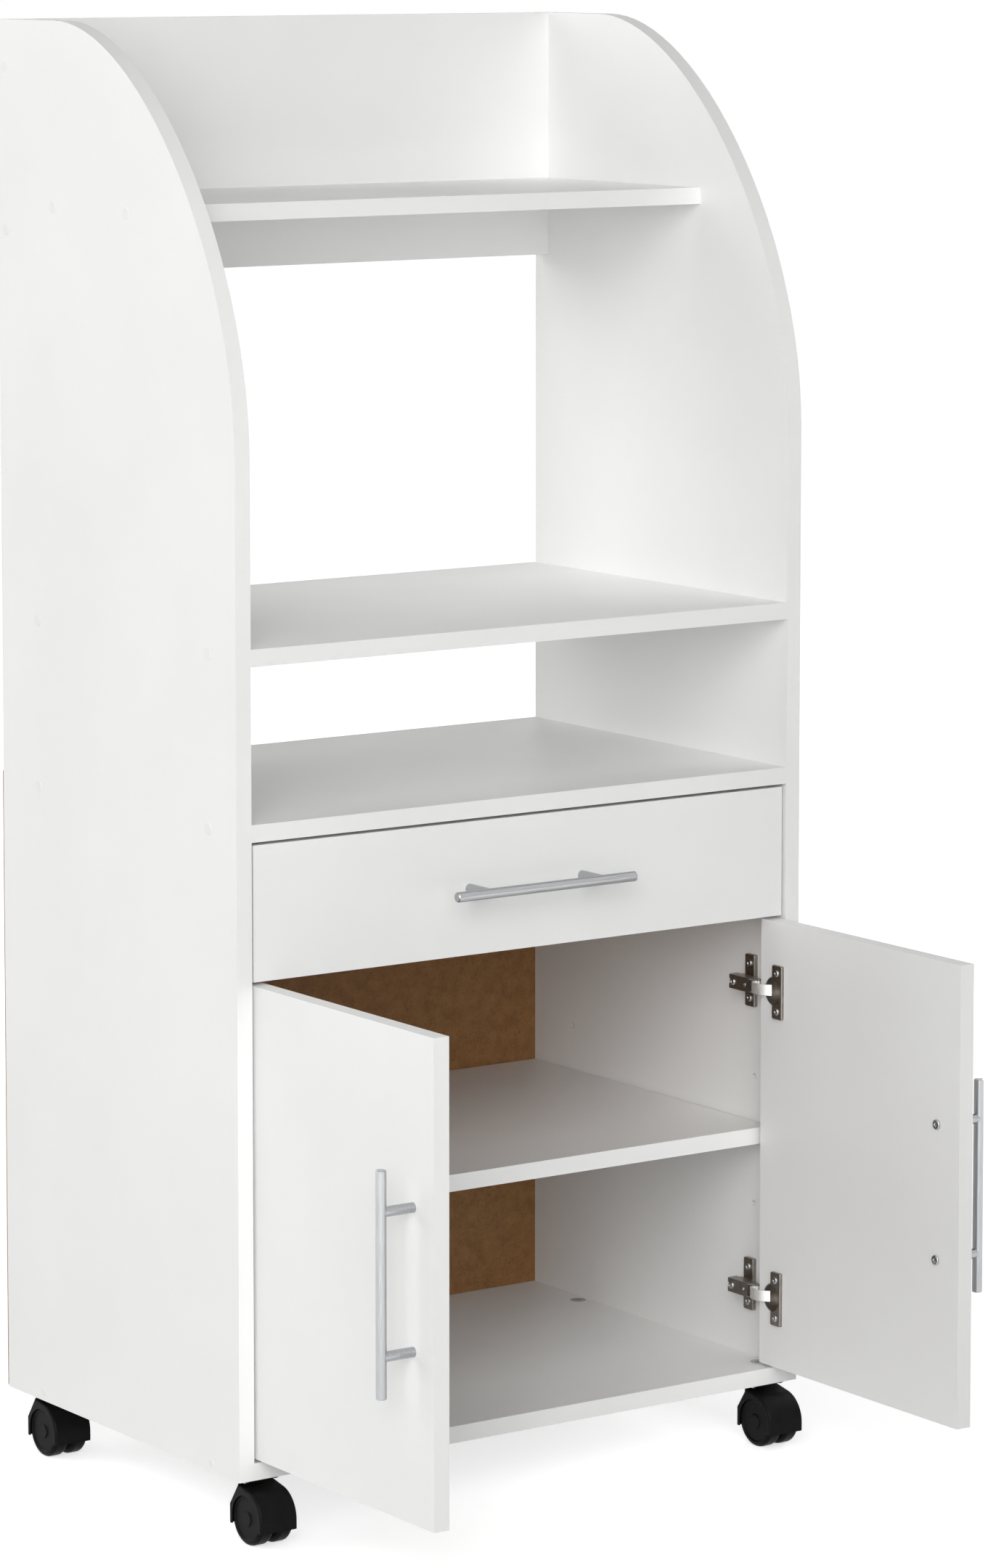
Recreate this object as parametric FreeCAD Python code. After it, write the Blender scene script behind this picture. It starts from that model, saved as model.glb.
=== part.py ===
import FreeCAD, Part
import math
import os
from FreeCAD import Rotation, Vector

# A tall microwave cart: two curved side boards joined by shelves, a drawer over a pair of doors,
# and four hooded twin-wheel casters.  Millimetres; X to the right, Y to the back, Z up.
# The origin is on the floor under the middle of the carcass.  The doors stand open at 90 degrees.

# ------------------------------------------------------------------ carcass
WIDTH = 600.0
DEPTH = 390.0
BOARD = 15.0
SIDE_HEIGHT = 1236.0
CASTER_HEIGHT = 57.0            # floor to the underside of the carcass

TOP_FLAT = 100.0                # level top edge of a side, from the back
FRONT_STRAIGHT = 870.0          # upright front edge of a side
TOP_PULL = 130.0                # how far the curve leaves level
FRONT_PULL = 185.0              # how far the curve leaves upright

RAIL_HEIGHT = 227.5
RAIL_SET_IN = 5.0               # rail's back face from the back plane
UPPER_SHELF_TOP = 1081.0        # shelf levels are above the carcass underside
UPPER_SHELF_DEPTH = 238.0
MIDDLE_SHELF_TOP = 714.0
CABINET_TOP = 565.0

HARDBOARD = 3.0
HARDBOARD_INSET = 1.0           # edge of the back panel from the carcass outline

# ------------------------------------------------------------------ board fixings
FRAME_SCREW_R = 2.5
FRAME_SCREW_LENGTH = 44.0
FRAME_HEAD_R = 4.5
FRAME_HEAD_THICKNESS = 3.0
HEAD_TOP_SHARE = 0.75           # top radius of a screw head as a share of its foot
CAP_R = 5.5
CAP_THICKNESS = 1.2
CAP_PROUD = 0.5
CAP_CHAMFER = 0.3
SMALL_CAP_R = 3.2
SCREW_FROM_FRONT = 45.0
SCREW_FROM_BACK = 62.0
UPPER_SCREW_FROM_FRONT = 41.0
UPPER_SCREW_FROM_BACK = 74.0
RAIL_SCREW_FROM_END = 42.0
FIT = 0.05                      # radial clearance of a fastener in its hole
SLACK = 0.3                     # gap between loosely seated pieces
TINY = 0.01                     # when two lengths count as the same

CONNECTOR_R = 7.5               # housings that lock the bottom board to the sides
CONNECTOR_DEPTH = 12.0
CONNECTOR_FROM_SIDE = 10.0
CONNECTOR_FROM_FRONT = 24.0
CONNECTOR_FROM_BACK = 85.0
CONNECTOR_BOLT_R = 2.5
CONNECTOR_BOLT_IN_SIDE = 10.0
CONNECTOR_SLOT_WIDTH = 1.6
CONNECTOR_SLOT_DEPTH = 2.0

NAIL_R = 0.8
NAIL_LENGTH = 15.0
NAIL_HEAD_R = 2.2
NAIL_HEAD_THICKNESS = 0.7
NAIL_FROM_END = 40.0
NAILS_UP_SIDE = 4
NAILS_ALONG_EDGE = 3

# ------------------------------------------------------------------ adjustable shelf
PIN_R = 2.5
PIN_IN_BOARD = 8.0
PIN_OUT = 9.0
PIN_COLLAR_R = 3.6
PIN_COLLAR_THICKNESS = 1.2
PIN_ROW_BOTTOM = 157.0
PIN_PITCH = 59.0
PIN_ROWS = 3
INNER_SHELF_FRONT_SET_BACK = 19.5
INNER_SHELF_BACK_GAP = 2.0
INNER_SHELF_SIDE_GAP = 1.5

# ------------------------------------------------------------------ fronts
REVEAL = 3.0                    # gap round the drawer front and the doors
DOOR_GAP = 2.0                  # gap between the closed doors
FRONT_RECESS = 2.5              # closed fronts behind the carcass front plane
DRAWER_FRONT_HEIGHT = 117.0

# ------------------------------------------------------------------ drawer box and runners
DRAWER_BOARD = 12.0
DRAWER_SIDE_HEIGHT = 90.0
DRAWER_BOX_RAISE = 11.0         # underside of the box above the front's lower edge
RUNNER_SPACE = 12.5             # drawer side to carcass side
GROOVE_DEPTH = 5.0
GROOVE_RAISE = 9.0
DRAWER_SCREW_R = 2.0
DRAWER_SCREW_LENGTH = 34.0
DRAWER_SCREW_INSET = 22.0
DRAWER_CAM_R = 6.0
DRAWER_CAM_DEPTH = 9.0
DRAWER_CAM_FROM_FRONT = 24.0
DRAWER_CAM_BOLT_R = 2.0
DRAWER_BOLT_IN_FRONT = 9.0

RUNNER_SHEET = 1.2
RUNNER_LENGTH = 320.0
RUNNER_WEB_HEIGHT = 32.0
RUNNER_LEDGE = 9.5
RUNNER_FRONT_GAP = 3.0          # runner end behind the drawer front
RUNNER_BACK_GAP = 7.0           # and in front of the box's back face
DRAWER_RUNNER_LEG = 22.0
DRAWER_RUNNER_TRACK = 8.0
ROLLER_R = 6.8
ROLLER_WIDTH = 6.0
ROLLER_GAP = 0.2                # roller to the track or ledge it runs on
ROLLER_PIN_R = 2.0
ROLLER_FROM_END = 10.0
RUNNER_SCREW_R = 1.7
RUNNER_SCREW_LENGTH = 12.0
DRAWER_RUNNER_SCREW_LENGTH = 9.0
RUNNER_SCREW_HEAD_R = 3.2
RUNNER_SCREW_HEAD_THICKNESS = 1.2
RUNNER_SCREW_FROM_END = 45.0
RUNNER_SCREW_RAISE = 24.0       # above the ledge

# ------------------------------------------------------------------ bar handles
HANDLE_BAR_R = 4.5
HANDLE_BAR_LENGTH = 190.0
HANDLE_BAR_CHAMFER = 0.8
HANDLE_POST_R = 4.3
HANDLE_POST_CENTRES = 120.0
HANDLE_STAND_OFF = 31.5         # face to the middle of the bar
HANDLE_FROM_FREE_EDGE = 30.0
HANDLE_SCREW_R = 2.0
HANDLE_SCREW_HEAD_R = 4.5
HANDLE_SCREW_HEAD_THICKNESS = 2.2
HANDLE_SCREW_IN_POST = 10.0

# ------------------------------------------------------------------ concealed hinges
PIVOT_FROM_EDGE = 5.0           # door turning axis from the hinge edge
PIVOT_FROM_FACE = 5.5           # and from the door's outer face
HINGE_FROM_DOOR_END = 63.75
CUP_R = 12.7
CUP_WALL = 0.7
CUP_DEPTH = 11.5
CUP_FROM_EDGE = 20.3
CUP_RIM_R = 13.2
CUP_RIM_THICKNESS = 0.8
FLANGE_THICKNESS = 3.0
FLANGE_HEIGHT = 49.0
FLANGE_WIDTH = 14.2             # from the far side of the cup's rim towards the hinge edge
CUP_SCREW_CENTRES = 35.0
CUP_SCREW_R = 1.6
CUP_SCREW_LENGTH = 11.0
CUP_SCREW_HEAD_R = 3.2
CUP_SCREW_HEAD_THICKNESS = 1.3

PLATE_HEIGHT = 48.0
PLATE_WIDTH = 14.0
PLATE_THICKNESS = 4.0
PLATE_BEHIND_FRONT = 40.7       # plate's front edge behind the carcass front plane
PLATE_CORNER_R = 1.5
PLATE_EDGE_R = 0.8              # rounded edge of the plate's and the flange's outer face
PLATE_BLOCK_HALF_HEIGHT = 5.0
PLATE_BLOCK_NOSE = 11.2         # block in front of the plate's front edge
PLATE_BLOCK_TAIL = 2.8          # block behind the plate's back edge
PLATE_BLOCK_UNDERCUT = 3.0      # the nose's underside off the side board's plate
PLATE_SCREW_CENTRES = 32.0
PLATE_SCREW_R = 1.8
PLATE_SCREW_LENGTH = 12.0
PLATE_SCREW_HEAD_R = 3.6
PLATE_SCREW_HEAD_THICKNESS = 1.5

ARM_STAND_OFF = 19.7            # arm's outer face from the side board
ARM_SHEET = 1.2
ARM_CHEEK_GAP = 10.4
ARM_CHEEK_DEPTH = 9.7
ARM_EYE_R = 2.3
ARM_NOTCH_R = 2.2
ARM_NOTCH_LENGTH = 7.5
ARM_SCREW_R = 2.0
ARM_SCREW_HEAD_R = 3.3
ARM_SCREW_HEAD_THICKNESS = 1.5
ARM_SCREW_DEPTH = 9.0
ARM_SCREW_FROM_TAIL = 5.5
ADJUSTING_SCREW_FROM_NOSE = 5.5
ADJUSTING_SCREW_PROUD = 0.4

LINK_HALF_HEIGHT = 4.9
LINK_THICKNESS = 1.5
LINK_EYE_R = 2.2
LINK_PIN_R = 1.25
# Middle line of a link with the door open, from its pin to its free end in the cup.
# Each point is (towards the middle of the cart, towards the back) from the door's axis.
LINK_PIN = (6.0, 13.0)
LINK_LINE = (LINK_PIN, (15.5, 21.0), (19.8, 0.0), (8.2, -9.0))
LINK_STATIONS = 9

# ------------------------------------------------------------------ casters
CASTER_FROM_SIDE = 26.75        # swivel axis from the outer face of the carcass
CASTER_FROM_FRONT = 24.0        # and from the front or back plane
TRAIL = 19.0                    # axle in front of the swivel axis
WHEEL_R = 23.0
WHEEL_WIDTH = 15.0
WHEEL_SHOULDER = 4.0
WHEEL_DISH = 1.2
WHEEL_RIM = 4.5
HUB_R = 6.0
AXLE_R = 2.5
AXLE_SHORT_OF_FACE = 2.5
HOOD_WEB = 3.6
WHEEL_SIDE_GAP = 0.4
HOOD_TREAD_GAP = 1.3
HOOD_WALL = 1.5
HOOD_CHEEK = 1.0
HOOD_BOTTOM = 15.2              # above the floor
HOOD_BACK = 25.2                # hood's back wall behind the axle
HOOD_KNEE = 9.1                 # top of the back wall above the axle
HOOD_RISE = 10.5                # degrees by which the top still rises behind its round front
HOOD_SHOULDER = 12.0            # where the top turns into the back slope, behind the axle
HOOD_ARCH_R = 20.4              # arch cut in each cheek round the wheel's disc
HOOD_EDGE_R = 2.4
NECK_R = 11.0
NECK_FOOT_R = 6.0
NECK_HEIGHT = 12.0
NECK_TAPER = 10.0
CASTER_PLATE = 38.0
CASTER_PLATE_THICKNESS = 2.0
CASTER_PLATE_CORNER_R = 4.0
RACE_R = 9.5
RACE_FOOT_R = 8.0
RACE_HEIGHT = 2.6
SWIVEL_PIN_R = 4.0
SWIVEL_PIN_IN_HOOD = 13.0
CASTER_SCREW_CENTRES = 30.0
CASTER_SCREW_R = 1.75
CASTER_SCREW_LENGTH = 12.0
CASTER_SCREW_HEAD_R = 3.2
CASTER_SCREW_HEAD_THICKNESS = 1.4

# ------------------------------------------------------------------ worked out from the above
OUTER = WIDTH / 2
INNER = OUTER - BOARD
FRONT = -DEPTH / 2
BACK = DEPTH / 2
BASE = CASTER_HEIGHT
FRONT_FACE = FRONT + FRONT_RECESS
FRONT_BACK = FRONT_FACE + BOARD
RAIL_BACK = BACK - RAIL_SET_IN
RAIL_FRONT = RAIL_BACK - BOARD
BOTTOM_TOP = BASE + BOARD

DRAWER_FRONT_TOP = BASE + CABINET_TOP - BOARD - REVEAL
DRAWER_FRONT_BOTTOM = DRAWER_FRONT_TOP - DRAWER_FRONT_HEIGHT
DOOR_BOTTOM = BOTTOM_TOP + REVEAL
DOOR_TOP = DRAWER_FRONT_BOTTOM - REVEAL
DOOR_MIDDLE = (DOOR_BOTTOM + DOOR_TOP) / 2
DOOR_WIDTH = INNER - REVEAL - DOOR_GAP / 2
HINGE_LEVELS = (DOOR_BOTTOM + HINGE_FROM_DOOR_END, DOOR_TOP - HINGE_FROM_DOOR_END)
PIVOT_X = INNER - REVEAL - PIVOT_FROM_EDGE
PIVOT_Y = FRONT_FACE + PIVOT_FROM_FACE

BOX_OUTER = INNER - RUNNER_SPACE
BOX_INNER = BOX_OUTER - DRAWER_BOARD
BOX_BOTTOM = DRAWER_FRONT_BOTTOM + DRAWER_BOX_RAISE
BOX_TOP = BOX_BOTTOM + DRAWER_SIDE_HEIGHT
GROOVE_BOTTOM = BOX_BOTTOM + GROOVE_RAISE

RUNNER_FRONT = FRONT_BACK + RUNNER_FRONT_GAP
RUNNER_BACK = RUNNER_FRONT + RUNNER_LENGTH
BOX_BACK = RUNNER_BACK + RUNNER_BACK_GAP
LEDGE_TOP = BOX_BOTTOM
ROLLER_LEVEL = LEDGE_TOP + ROLLER_GAP + ROLLER_R
TRACK_UNDERSIDE = ROLLER_LEVEL + ROLLER_R + ROLLER_GAP
CABINET_ROLLER_Y = RUNNER_FRONT + ROLLER_FROM_END
DRAWER_ROLLER_Y = RUNNER_BACK - ROLLER_FROM_END
ROLLER_X = (INNER - RUNNER_SHEET + BOX_OUTER + RUNNER_SHEET) / 2

PLATE_FRONT = FRONT + PLATE_BEHIND_FRONT
PLATE_BACK = PLATE_FRONT + PLATE_WIDTH
BLOCK_FRONT = PLATE_FRONT - PLATE_BLOCK_NOSE
BLOCK_BACK = PLATE_BACK + PLATE_BLOCK_TAIL
ARM_FRONT = BLOCK_FRONT - ARM_SHEET
ARM_HALF_HEIGHT = ARM_CHEEK_GAP / 2 + ARM_SHEET
ROW_IN_USE = PIN_ROWS // 2       # the middle row of shelf pin holes
LINK_PIN_X = PIVOT_X - LINK_PIN[0]
LINK_PIN_Y = PIVOT_Y + LINK_PIN[1]

CASTER_X = OUTER - CASTER_FROM_SIDE
CASTER_Y = BACK - CASTER_FROM_FRONT
WHEEL_INNER = HOOD_WEB / 2 + WHEEL_SIDE_GAP
WHEEL_OUTER = WHEEL_INNER + WHEEL_WIDTH
HOOD_BORE_R = WHEEL_R + HOOD_TREAD_GAP
HOOD_R = HOOD_BORE_R + HOOD_WALL
HOOD_INNER = WHEEL_OUTER + WHEEL_SIDE_GAP
HOOD_OUTER = HOOD_INNER + HOOD_CHEEK
PLATE_UNDERSIDE = BASE - CASTER_PLATE_THICKNESS
RACE_UNDERSIDE = PLATE_UNDERSIDE - RACE_HEIGHT
NECK_TOP = RACE_UNDERSIDE - SLACK

TO_RIGHT = Vector(1, 0, 0)
TO_LEFT = Vector(-1, 0, 0)
TO_FRONT = Vector(0, -1, 0)
TO_BACK = Vector(0, 1, 0)
UP = Vector(0, 0, 1)
DOWN = Vector(0, 0, -1)


# ------------------------------------------------------------------ shape helpers
def block(x, y, z):
    """A box between the two values of each pair."""
    low = Vector(min(x), min(y), min(z))
    size = Vector(max(x), max(y), max(z)) - low
    return Part.makeBox(size.x, size.y, size.z, low)


def rod(radius, length, start, direction):
    return Part.makeCylinder(radius, length, start, direction)


def turned(outline, start, direction):
    """Turn an outline of (radius, height) points about the axis that leaves start along direction."""
    points = [Vector(radius, 0, height) for radius, height in outline]
    face = Part.Face(Part.makePolygon(points + points[:1]))
    solid = face.revolve(Vector(0, 0, 0), UP, 360)
    solid.Placement = FreeCAD.Placement(start, Rotation(UP, direction))
    return solid


def screw(shank_r, length, head_r, head_thickness, seat, direction):
    """A screw driven along direction, with its head standing on the seat."""
    outline = (
        (0, -head_thickness),
        (head_r * HEAD_TOP_SHARE, -head_thickness),
        (head_r, 0),
        (shank_r, 0),
        (shank_r, length),
        (0, length),
    )
    return turned(outline, seat, direction)


def fuse(shapes):
    first = shapes[0]
    joined = first.multiFuse(shapes[1:]) if len(shapes) > 1 else first
    return joined.removeSplitter()


def mirrored(shape):
    return shape.mirror(Vector(0, 0, 0), TO_RIGHT)


def group(shapes):
    return Part.makeCompound(shapes)


def on_both_sides(shapes):
    """The shapes of the right side with their mirror images on the left."""
    return list(shapes) + [mirrored(shape) for shape in shapes]


def rounded_plate(half_x, half_y, thickness, radius, centre):
    """A level plate with rounded corners, its underside at the centre's height."""
    plate = block((-half_x, half_x), (-half_y, half_y), (0, thickness))
    upright = [edge for edge in plate.Edges if abs(edge.tangentAt(0).z) > 0.5]
    plate = plate.makeFillet(radius, upright)
    plate.translate(centre)
    return plate


# ------------------------------------------------------------------ where boards are joined
def frame_screw_places():
    """Every screw of the right side: (y, z, cap radius) for each board that meets it."""
    places = []
    for share in (-1, 1):
        rail_middle = BASE + SIDE_HEIGHT - RAIL_HEIGHT / 2
        reach = RAIL_HEIGHT / 2 - RAIL_SCREW_FROM_END
        places.append(((RAIL_FRONT + RAIL_BACK) / 2, rail_middle + share * reach, CAP_R))
    upper_front = RAIL_FRONT - UPPER_SHELF_DEPTH
    upper_level = BASE + UPPER_SHELF_TOP - BOARD / 2
    places.append((upper_front + UPPER_SCREW_FROM_FRONT, upper_level, CAP_R))
    places.append((RAIL_FRONT - UPPER_SCREW_FROM_BACK, upper_level, CAP_R))
    full_boards = ((MIDDLE_SHELF_TOP, CAP_R), (CABINET_TOP, CAP_R), (BOARD, SMALL_CAP_R))
    for top, cap_r in full_boards:
        level = BASE + top - BOARD / 2
        places.append((FRONT + SCREW_FROM_FRONT, level, cap_r))
        places.append((BACK - SCREW_FROM_BACK, level, cap_r))
    return places


def frame_screw_head_r(cap_r):
    return min(FRAME_HEAD_R, cap_r)


def frame_screws():
    cap_seat = OUTER - CAP_THICKNESS + CAP_PROUD
    screws = []
    for y, z, cap_r in frame_screw_places():
        head_r = frame_screw_head_r(cap_r)
        seat = Vector(cap_seat - FRAME_HEAD_THICKNESS, y, z)
        screws.append(screw(FRAME_SCREW_R, FRAME_SCREW_LENGTH, head_r, FRAME_HEAD_THICKNESS, seat, TO_LEFT))
    return group(on_both_sides(screws))


def screw_cover_caps():
    caps = []
    for y, z, cap_r in frame_screw_places():
        start = Vector(OUTER - CAP_THICKNESS + CAP_PROUD, y, z)
        cap = rod(cap_r, CAP_THICKNESS, start, TO_RIGHT)
        outer_edges = [edge for edge in cap.Edges if edge.CenterOfMass.x > OUTER and edge.Closed]
        caps.append(cap.makeChamfer(CAP_CHAMFER, outer_edges))
    return group(on_both_sides(caps))


def frame_screw_holes():
    """Stepped holes for the caps, heads and shanks on the right side."""
    holes = []
    for y, z, cap_r in frame_screw_places():
        cap_depth = CAP_THICKNESS - CAP_PROUD
        head_depth = cap_depth + FRAME_HEAD_THICKNESS
        shank_depth = head_depth + FRAME_SCREW_LENGTH
        mouth = Vector(OUTER, y, z)
        head_r = frame_screw_head_r(cap_r)
        hole = rod(cap_r + FIT, cap_depth, mouth, TO_LEFT)
        hole = hole.fuse(rod(head_r + FIT, head_depth, mouth, TO_LEFT))
        hole = hole.fuse(rod(FRAME_SCREW_R + FIT, shank_depth, mouth, TO_LEFT))
        holes.append(hole)
    return group(holes)


def connector_places():
    """Level places of the right side's connectors on the bottom board."""
    x = INNER - CONNECTOR_FROM_SIDE
    return ((x, FRONT + CONNECTOR_FROM_FRONT), (x, BACK - CONNECTOR_FROM_BACK))


def connector_bolt_start(y):
    return Vector(INNER + CONNECTOR_BOLT_IN_SIDE, y, BASE + BOARD / 2)


def connector_bolt_length():
    return CONNECTOR_BOLT_IN_SIDE + CONNECTOR_FROM_SIDE + CONNECTOR_BOLT_R


def corner_connectors():
    """Round housings sunk in the bottom board, each holding a bolt from the side."""
    pieces = []
    for x, y in connector_places():
        top = Vector(x, y, BOTTOM_TOP)
        housing = rod(CONNECTOR_R, CONNECTOR_DEPTH, top, DOWN)
        slot = block((x - CONNECTOR_R / 2, x + CONNECTOR_R / 2),
                     (y - CONNECTOR_SLOT_WIDTH / 2, y + CONNECTOR_SLOT_WIDTH / 2),
                     (BOTTOM_TOP - CONNECTOR_SLOT_DEPTH, BOTTOM_TOP))
        start = connector_bolt_start(y)
        bolt = rod(CONNECTOR_BOLT_R, connector_bolt_length(), start, TO_LEFT)
        clearance = rod(CONNECTOR_BOLT_R + FIT, connector_bolt_length() + FIT, start, TO_LEFT)
        pieces.append(housing.cut(slot).cut(clearance))
        pieces.append(bolt)
    return group(on_both_sides(pieces))


def caster_places():
    """Swivel axes of the right side's casters, front then back."""
    return ((CASTER_X, -CASTER_Y), (CASTER_X, CASTER_Y))


def caster_screw_places():
    half = CASTER_SCREW_CENTRES / 2
    corners = ((-half, -half), (half, -half), (half, half), (-half, half))
    return [(x + dx, y + dy) for x, y in caster_places() for dx, dy in corners]


def caster_plate_screws():
    screws = []
    for x, y in caster_screw_places():
        seat = Vector(x, y, PLATE_UNDERSIDE)
        screws.append(screw(CASTER_SCREW_R, CASTER_SCREW_LENGTH, CASTER_SCREW_HEAD_R,
                            CASTER_SCREW_HEAD_THICKNESS, seat, UP))
    return group(on_both_sides(screws))


def caster_screw_holes():
    depth = CASTER_SCREW_LENGTH - CASTER_PLATE_THICKNESS + SLACK
    return group([rod(CASTER_SCREW_R + FIT, depth, Vector(x, y, BASE), UP) for x, y in caster_screw_places()])


# ------------------------------------------------------------------ side boards
def side_outline():
    """The side board's edge in the plane of its inner face, round the curved front corner."""
    top = BASE + SIDE_HEIGHT
    straight = BASE + FRONT_STRAIGHT
    curve_start = BACK - TOP_FLAT
    corners = {
        "low_front": Vector(INNER, FRONT, BASE),
        "low_back": Vector(INNER, BACK, BASE),
        "high_back": Vector(INNER, BACK, top),
        "curve_top": Vector(INNER, curve_start, top),
        "curve_foot": Vector(INNER, FRONT, straight),
    }
    curve = Part.BezierCurve()
    curve.setPoles([
        corners["curve_top"],
        Vector(INNER, curve_start - TOP_PULL, top),
        Vector(INNER, FRONT, straight + FRONT_PULL),
        corners["curve_foot"],
    ])
    return Part.Wire([
        Part.makeLine(corners["low_front"], corners["low_back"]),
        Part.makeLine(corners["low_back"], corners["high_back"]),
        Part.makeLine(corners["high_back"], corners["curve_top"]),
        curve.toShape(),
        Part.makeLine(corners["curve_foot"], corners["low_front"]),
    ])


def shelf_pin_places():
    """(y, z) of every pin hole on the right side, row by row."""
    columns = (FRONT + SCREW_FROM_FRONT, BACK - SCREW_FROM_BACK)
    rows = [BASE + PIN_ROW_BOTTOM + PIN_PITCH * row for row in range(PIN_ROWS)]
    return [(y, z) for z in rows for y in columns]


def right_side_panel():
    panel = Part.Face(side_outline()).extrude(Vector(BOARD, 0, 0))
    cuts = [frame_screw_holes(), caster_screw_holes(), hinge_plate_holes(), runner_screw_holes()]
    for y, z in shelf_pin_places():
        cuts.append(rod(PIN_R + FIT, PIN_IN_BOARD + SLACK, Vector(INNER, y, z), TO_RIGHT))
    for _, y in connector_places():
        start = connector_bolt_start(y)
        start.x += FIT
        cuts.append(rod(CONNECTOR_BOLT_R + FIT, CONNECTOR_BOLT_IN_SIDE + FIT, start, TO_LEFT))
    for z in nail_levels():
        cuts.append(nail_hole(nail_x(), z))
    return panel.cut(cuts)


# ------------------------------------------------------------------ boards between the sides
def cross_board(y, z, holes=()):
    """A board between the sides with its screw holes, and any other holes, cut on both sides."""
    board = block((-INNER, INNER), y, z)
    return board.cut(on_both_sides([frame_screw_holes()] + list(holes)))


def bottom_panel():
    holes = [caster_screw_holes()]
    for x, y in connector_places():
        holes.append(rod(CONNECTOR_R + FIT, CONNECTOR_DEPTH + FIT, Vector(x, y, BOTTOM_TOP), DOWN))
        start = connector_bolt_start(y)
        holes.append(rod(CONNECTOR_BOLT_R + FIT, connector_bolt_length() + FIT, start, TO_LEFT))
    for x in nail_columns():
        holes.append(nail_hole(x, BASE + BOARD / 2))
    return cross_board((FRONT, BACK), (BASE, BOTTOM_TOP), holes)


def full_board(top, holes=()):
    return cross_board((FRONT, BACK), (BASE + top - BOARD, BASE + top), holes)


def cabinet_top_panel():
    holes = [nail_hole(x, BASE + CABINET_TOP - BOARD / 2) for x in nail_columns()]
    return full_board(CABINET_TOP, holes)


def upper_shelf():
    level = BASE + UPPER_SHELF_TOP
    return cross_board((RAIL_FRONT - UPPER_SHELF_DEPTH, RAIL_FRONT), (level - BOARD, level))


def top_back_rail():
    top = BASE + SIDE_HEIGHT
    return cross_board((RAIL_FRONT, RAIL_BACK), (top - RAIL_HEIGHT, top))


def inner_shelf():
    """The adjustable shelf lying on its four pins."""
    underside = BASE + PIN_ROW_BOTTOM + PIN_PITCH * ROW_IN_USE + PIN_R
    x = (-INNER + INNER_SHELF_SIDE_GAP, INNER - INNER_SHELF_SIDE_GAP)
    y = (FRONT + INNER_SHELF_FRONT_SET_BACK, BACK - INNER_SHELF_BACK_GAP)
    return block(x, y, (underside, underside + BOARD))


def shelf_pins():
    """Pins in the holes of one row, each with a collar against the board and a flat on top."""
    row = shelf_pin_places()[2 * ROW_IN_USE:2 * ROW_IN_USE + 2]
    pins = []
    for y, z in row:
        inside = Vector(INNER + PIN_IN_BOARD, y, z)
        pin = rod(PIN_R, PIN_IN_BOARD + PIN_OUT, inside, TO_LEFT)
        collar = rod(PIN_COLLAR_R, PIN_COLLAR_THICKNESS, Vector(INNER, y, z), TO_LEFT)
        above = block((INNER - PIN_OUT, INNER), (y - PIN_COLLAR_R, y + PIN_COLLAR_R),
                      (z + PIN_R, z + PIN_COLLAR_R))
        pins.append(fuse([pin, collar.cut(above)]))
    return group(on_both_sides(pins))


# ------------------------------------------------------------------ hardboard back
def nail_x():
    return INNER + BOARD / 2


def nail_levels():
    """Heights of the nails up one side board."""
    low = BASE + NAIL_FROM_END
    step = (CABINET_TOP - 2 * NAIL_FROM_END) / (NAILS_UP_SIDE - 1)
    return [low + step * number for number in range(NAILS_UP_SIDE)]


def nail_columns():
    """Places along the bottom and top boards, across the whole width."""
    step = 2 * INNER / (NAILS_ALONG_EDGE + 1)
    return [-INNER + step * (number + 1) for number in range(NAILS_ALONG_EDGE)]


def nail_seat(x, z):
    return Vector(x, BACK + HARDBOARD, z)


def nail_hole(x, z):
    """The hole of a nail whose head is driven flush with the hardboard."""
    shank = rod(NAIL_R + FIT, NAIL_LENGTH, nail_seat(x, z), TO_FRONT)
    return shank.fuse(rod(NAIL_HEAD_R + FIT, NAIL_HEAD_THICKNESS, nail_seat(x, z), TO_FRONT))


def nail_places():
    edges = (BASE + BOARD / 2, BASE + CABINET_TOP - BOARD / 2)
    along = [(x, z) for x in nail_columns() for z in edges]
    up = [(side * nail_x(), z) for side in (-1, 1) for z in nail_levels()]
    return along + up


def back_panel():
    x = OUTER - HARDBOARD_INSET
    z = (BASE + HARDBOARD_INSET, BASE + CABINET_TOP - HARDBOARD_INSET)
    panel = block((-x, x), (BACK, BACK + HARDBOARD), z)
    return panel.cut([nail_hole(x, z) for x, z in nail_places()])


def back_panel_nails():
    nails = []
    for x, z in nail_places():
        outline = ((0, 0), (NAIL_HEAD_R, 0), (NAIL_HEAD_R, NAIL_HEAD_THICKNESS),
                   (NAIL_R, NAIL_HEAD_THICKNESS), (NAIL_R, NAIL_LENGTH - NAIL_R), (0, NAIL_LENGTH))
        nails.append(turned(outline, nail_seat(x, z), TO_FRONT))
    return group(nails)


# ------------------------------------------------------------------ drawer
def drawer_cam_places():
    """(y, z) of the round fittings in a drawer side near the front."""
    y = FRONT_BACK + DRAWER_CAM_FROM_FRONT
    return ((y, BOX_BOTTOM + DRAWER_SCREW_INSET), (y, BOX_TOP - DRAWER_SCREW_INSET))


def drawer_cam_bolt(y, z, clearance):
    """The bolt from the drawer front into a round fitting."""
    start = Vector(BOX_INNER + DRAWER_CAM_DEPTH / 2, FRONT_BACK - DRAWER_BOLT_IN_FRONT - clearance, z)
    length = DRAWER_BOLT_IN_FRONT + y - FRONT_BACK + DRAWER_CAM_BOLT_R + 2 * clearance
    return rod(DRAWER_CAM_BOLT_R + clearance, length, start, TO_BACK)


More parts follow.
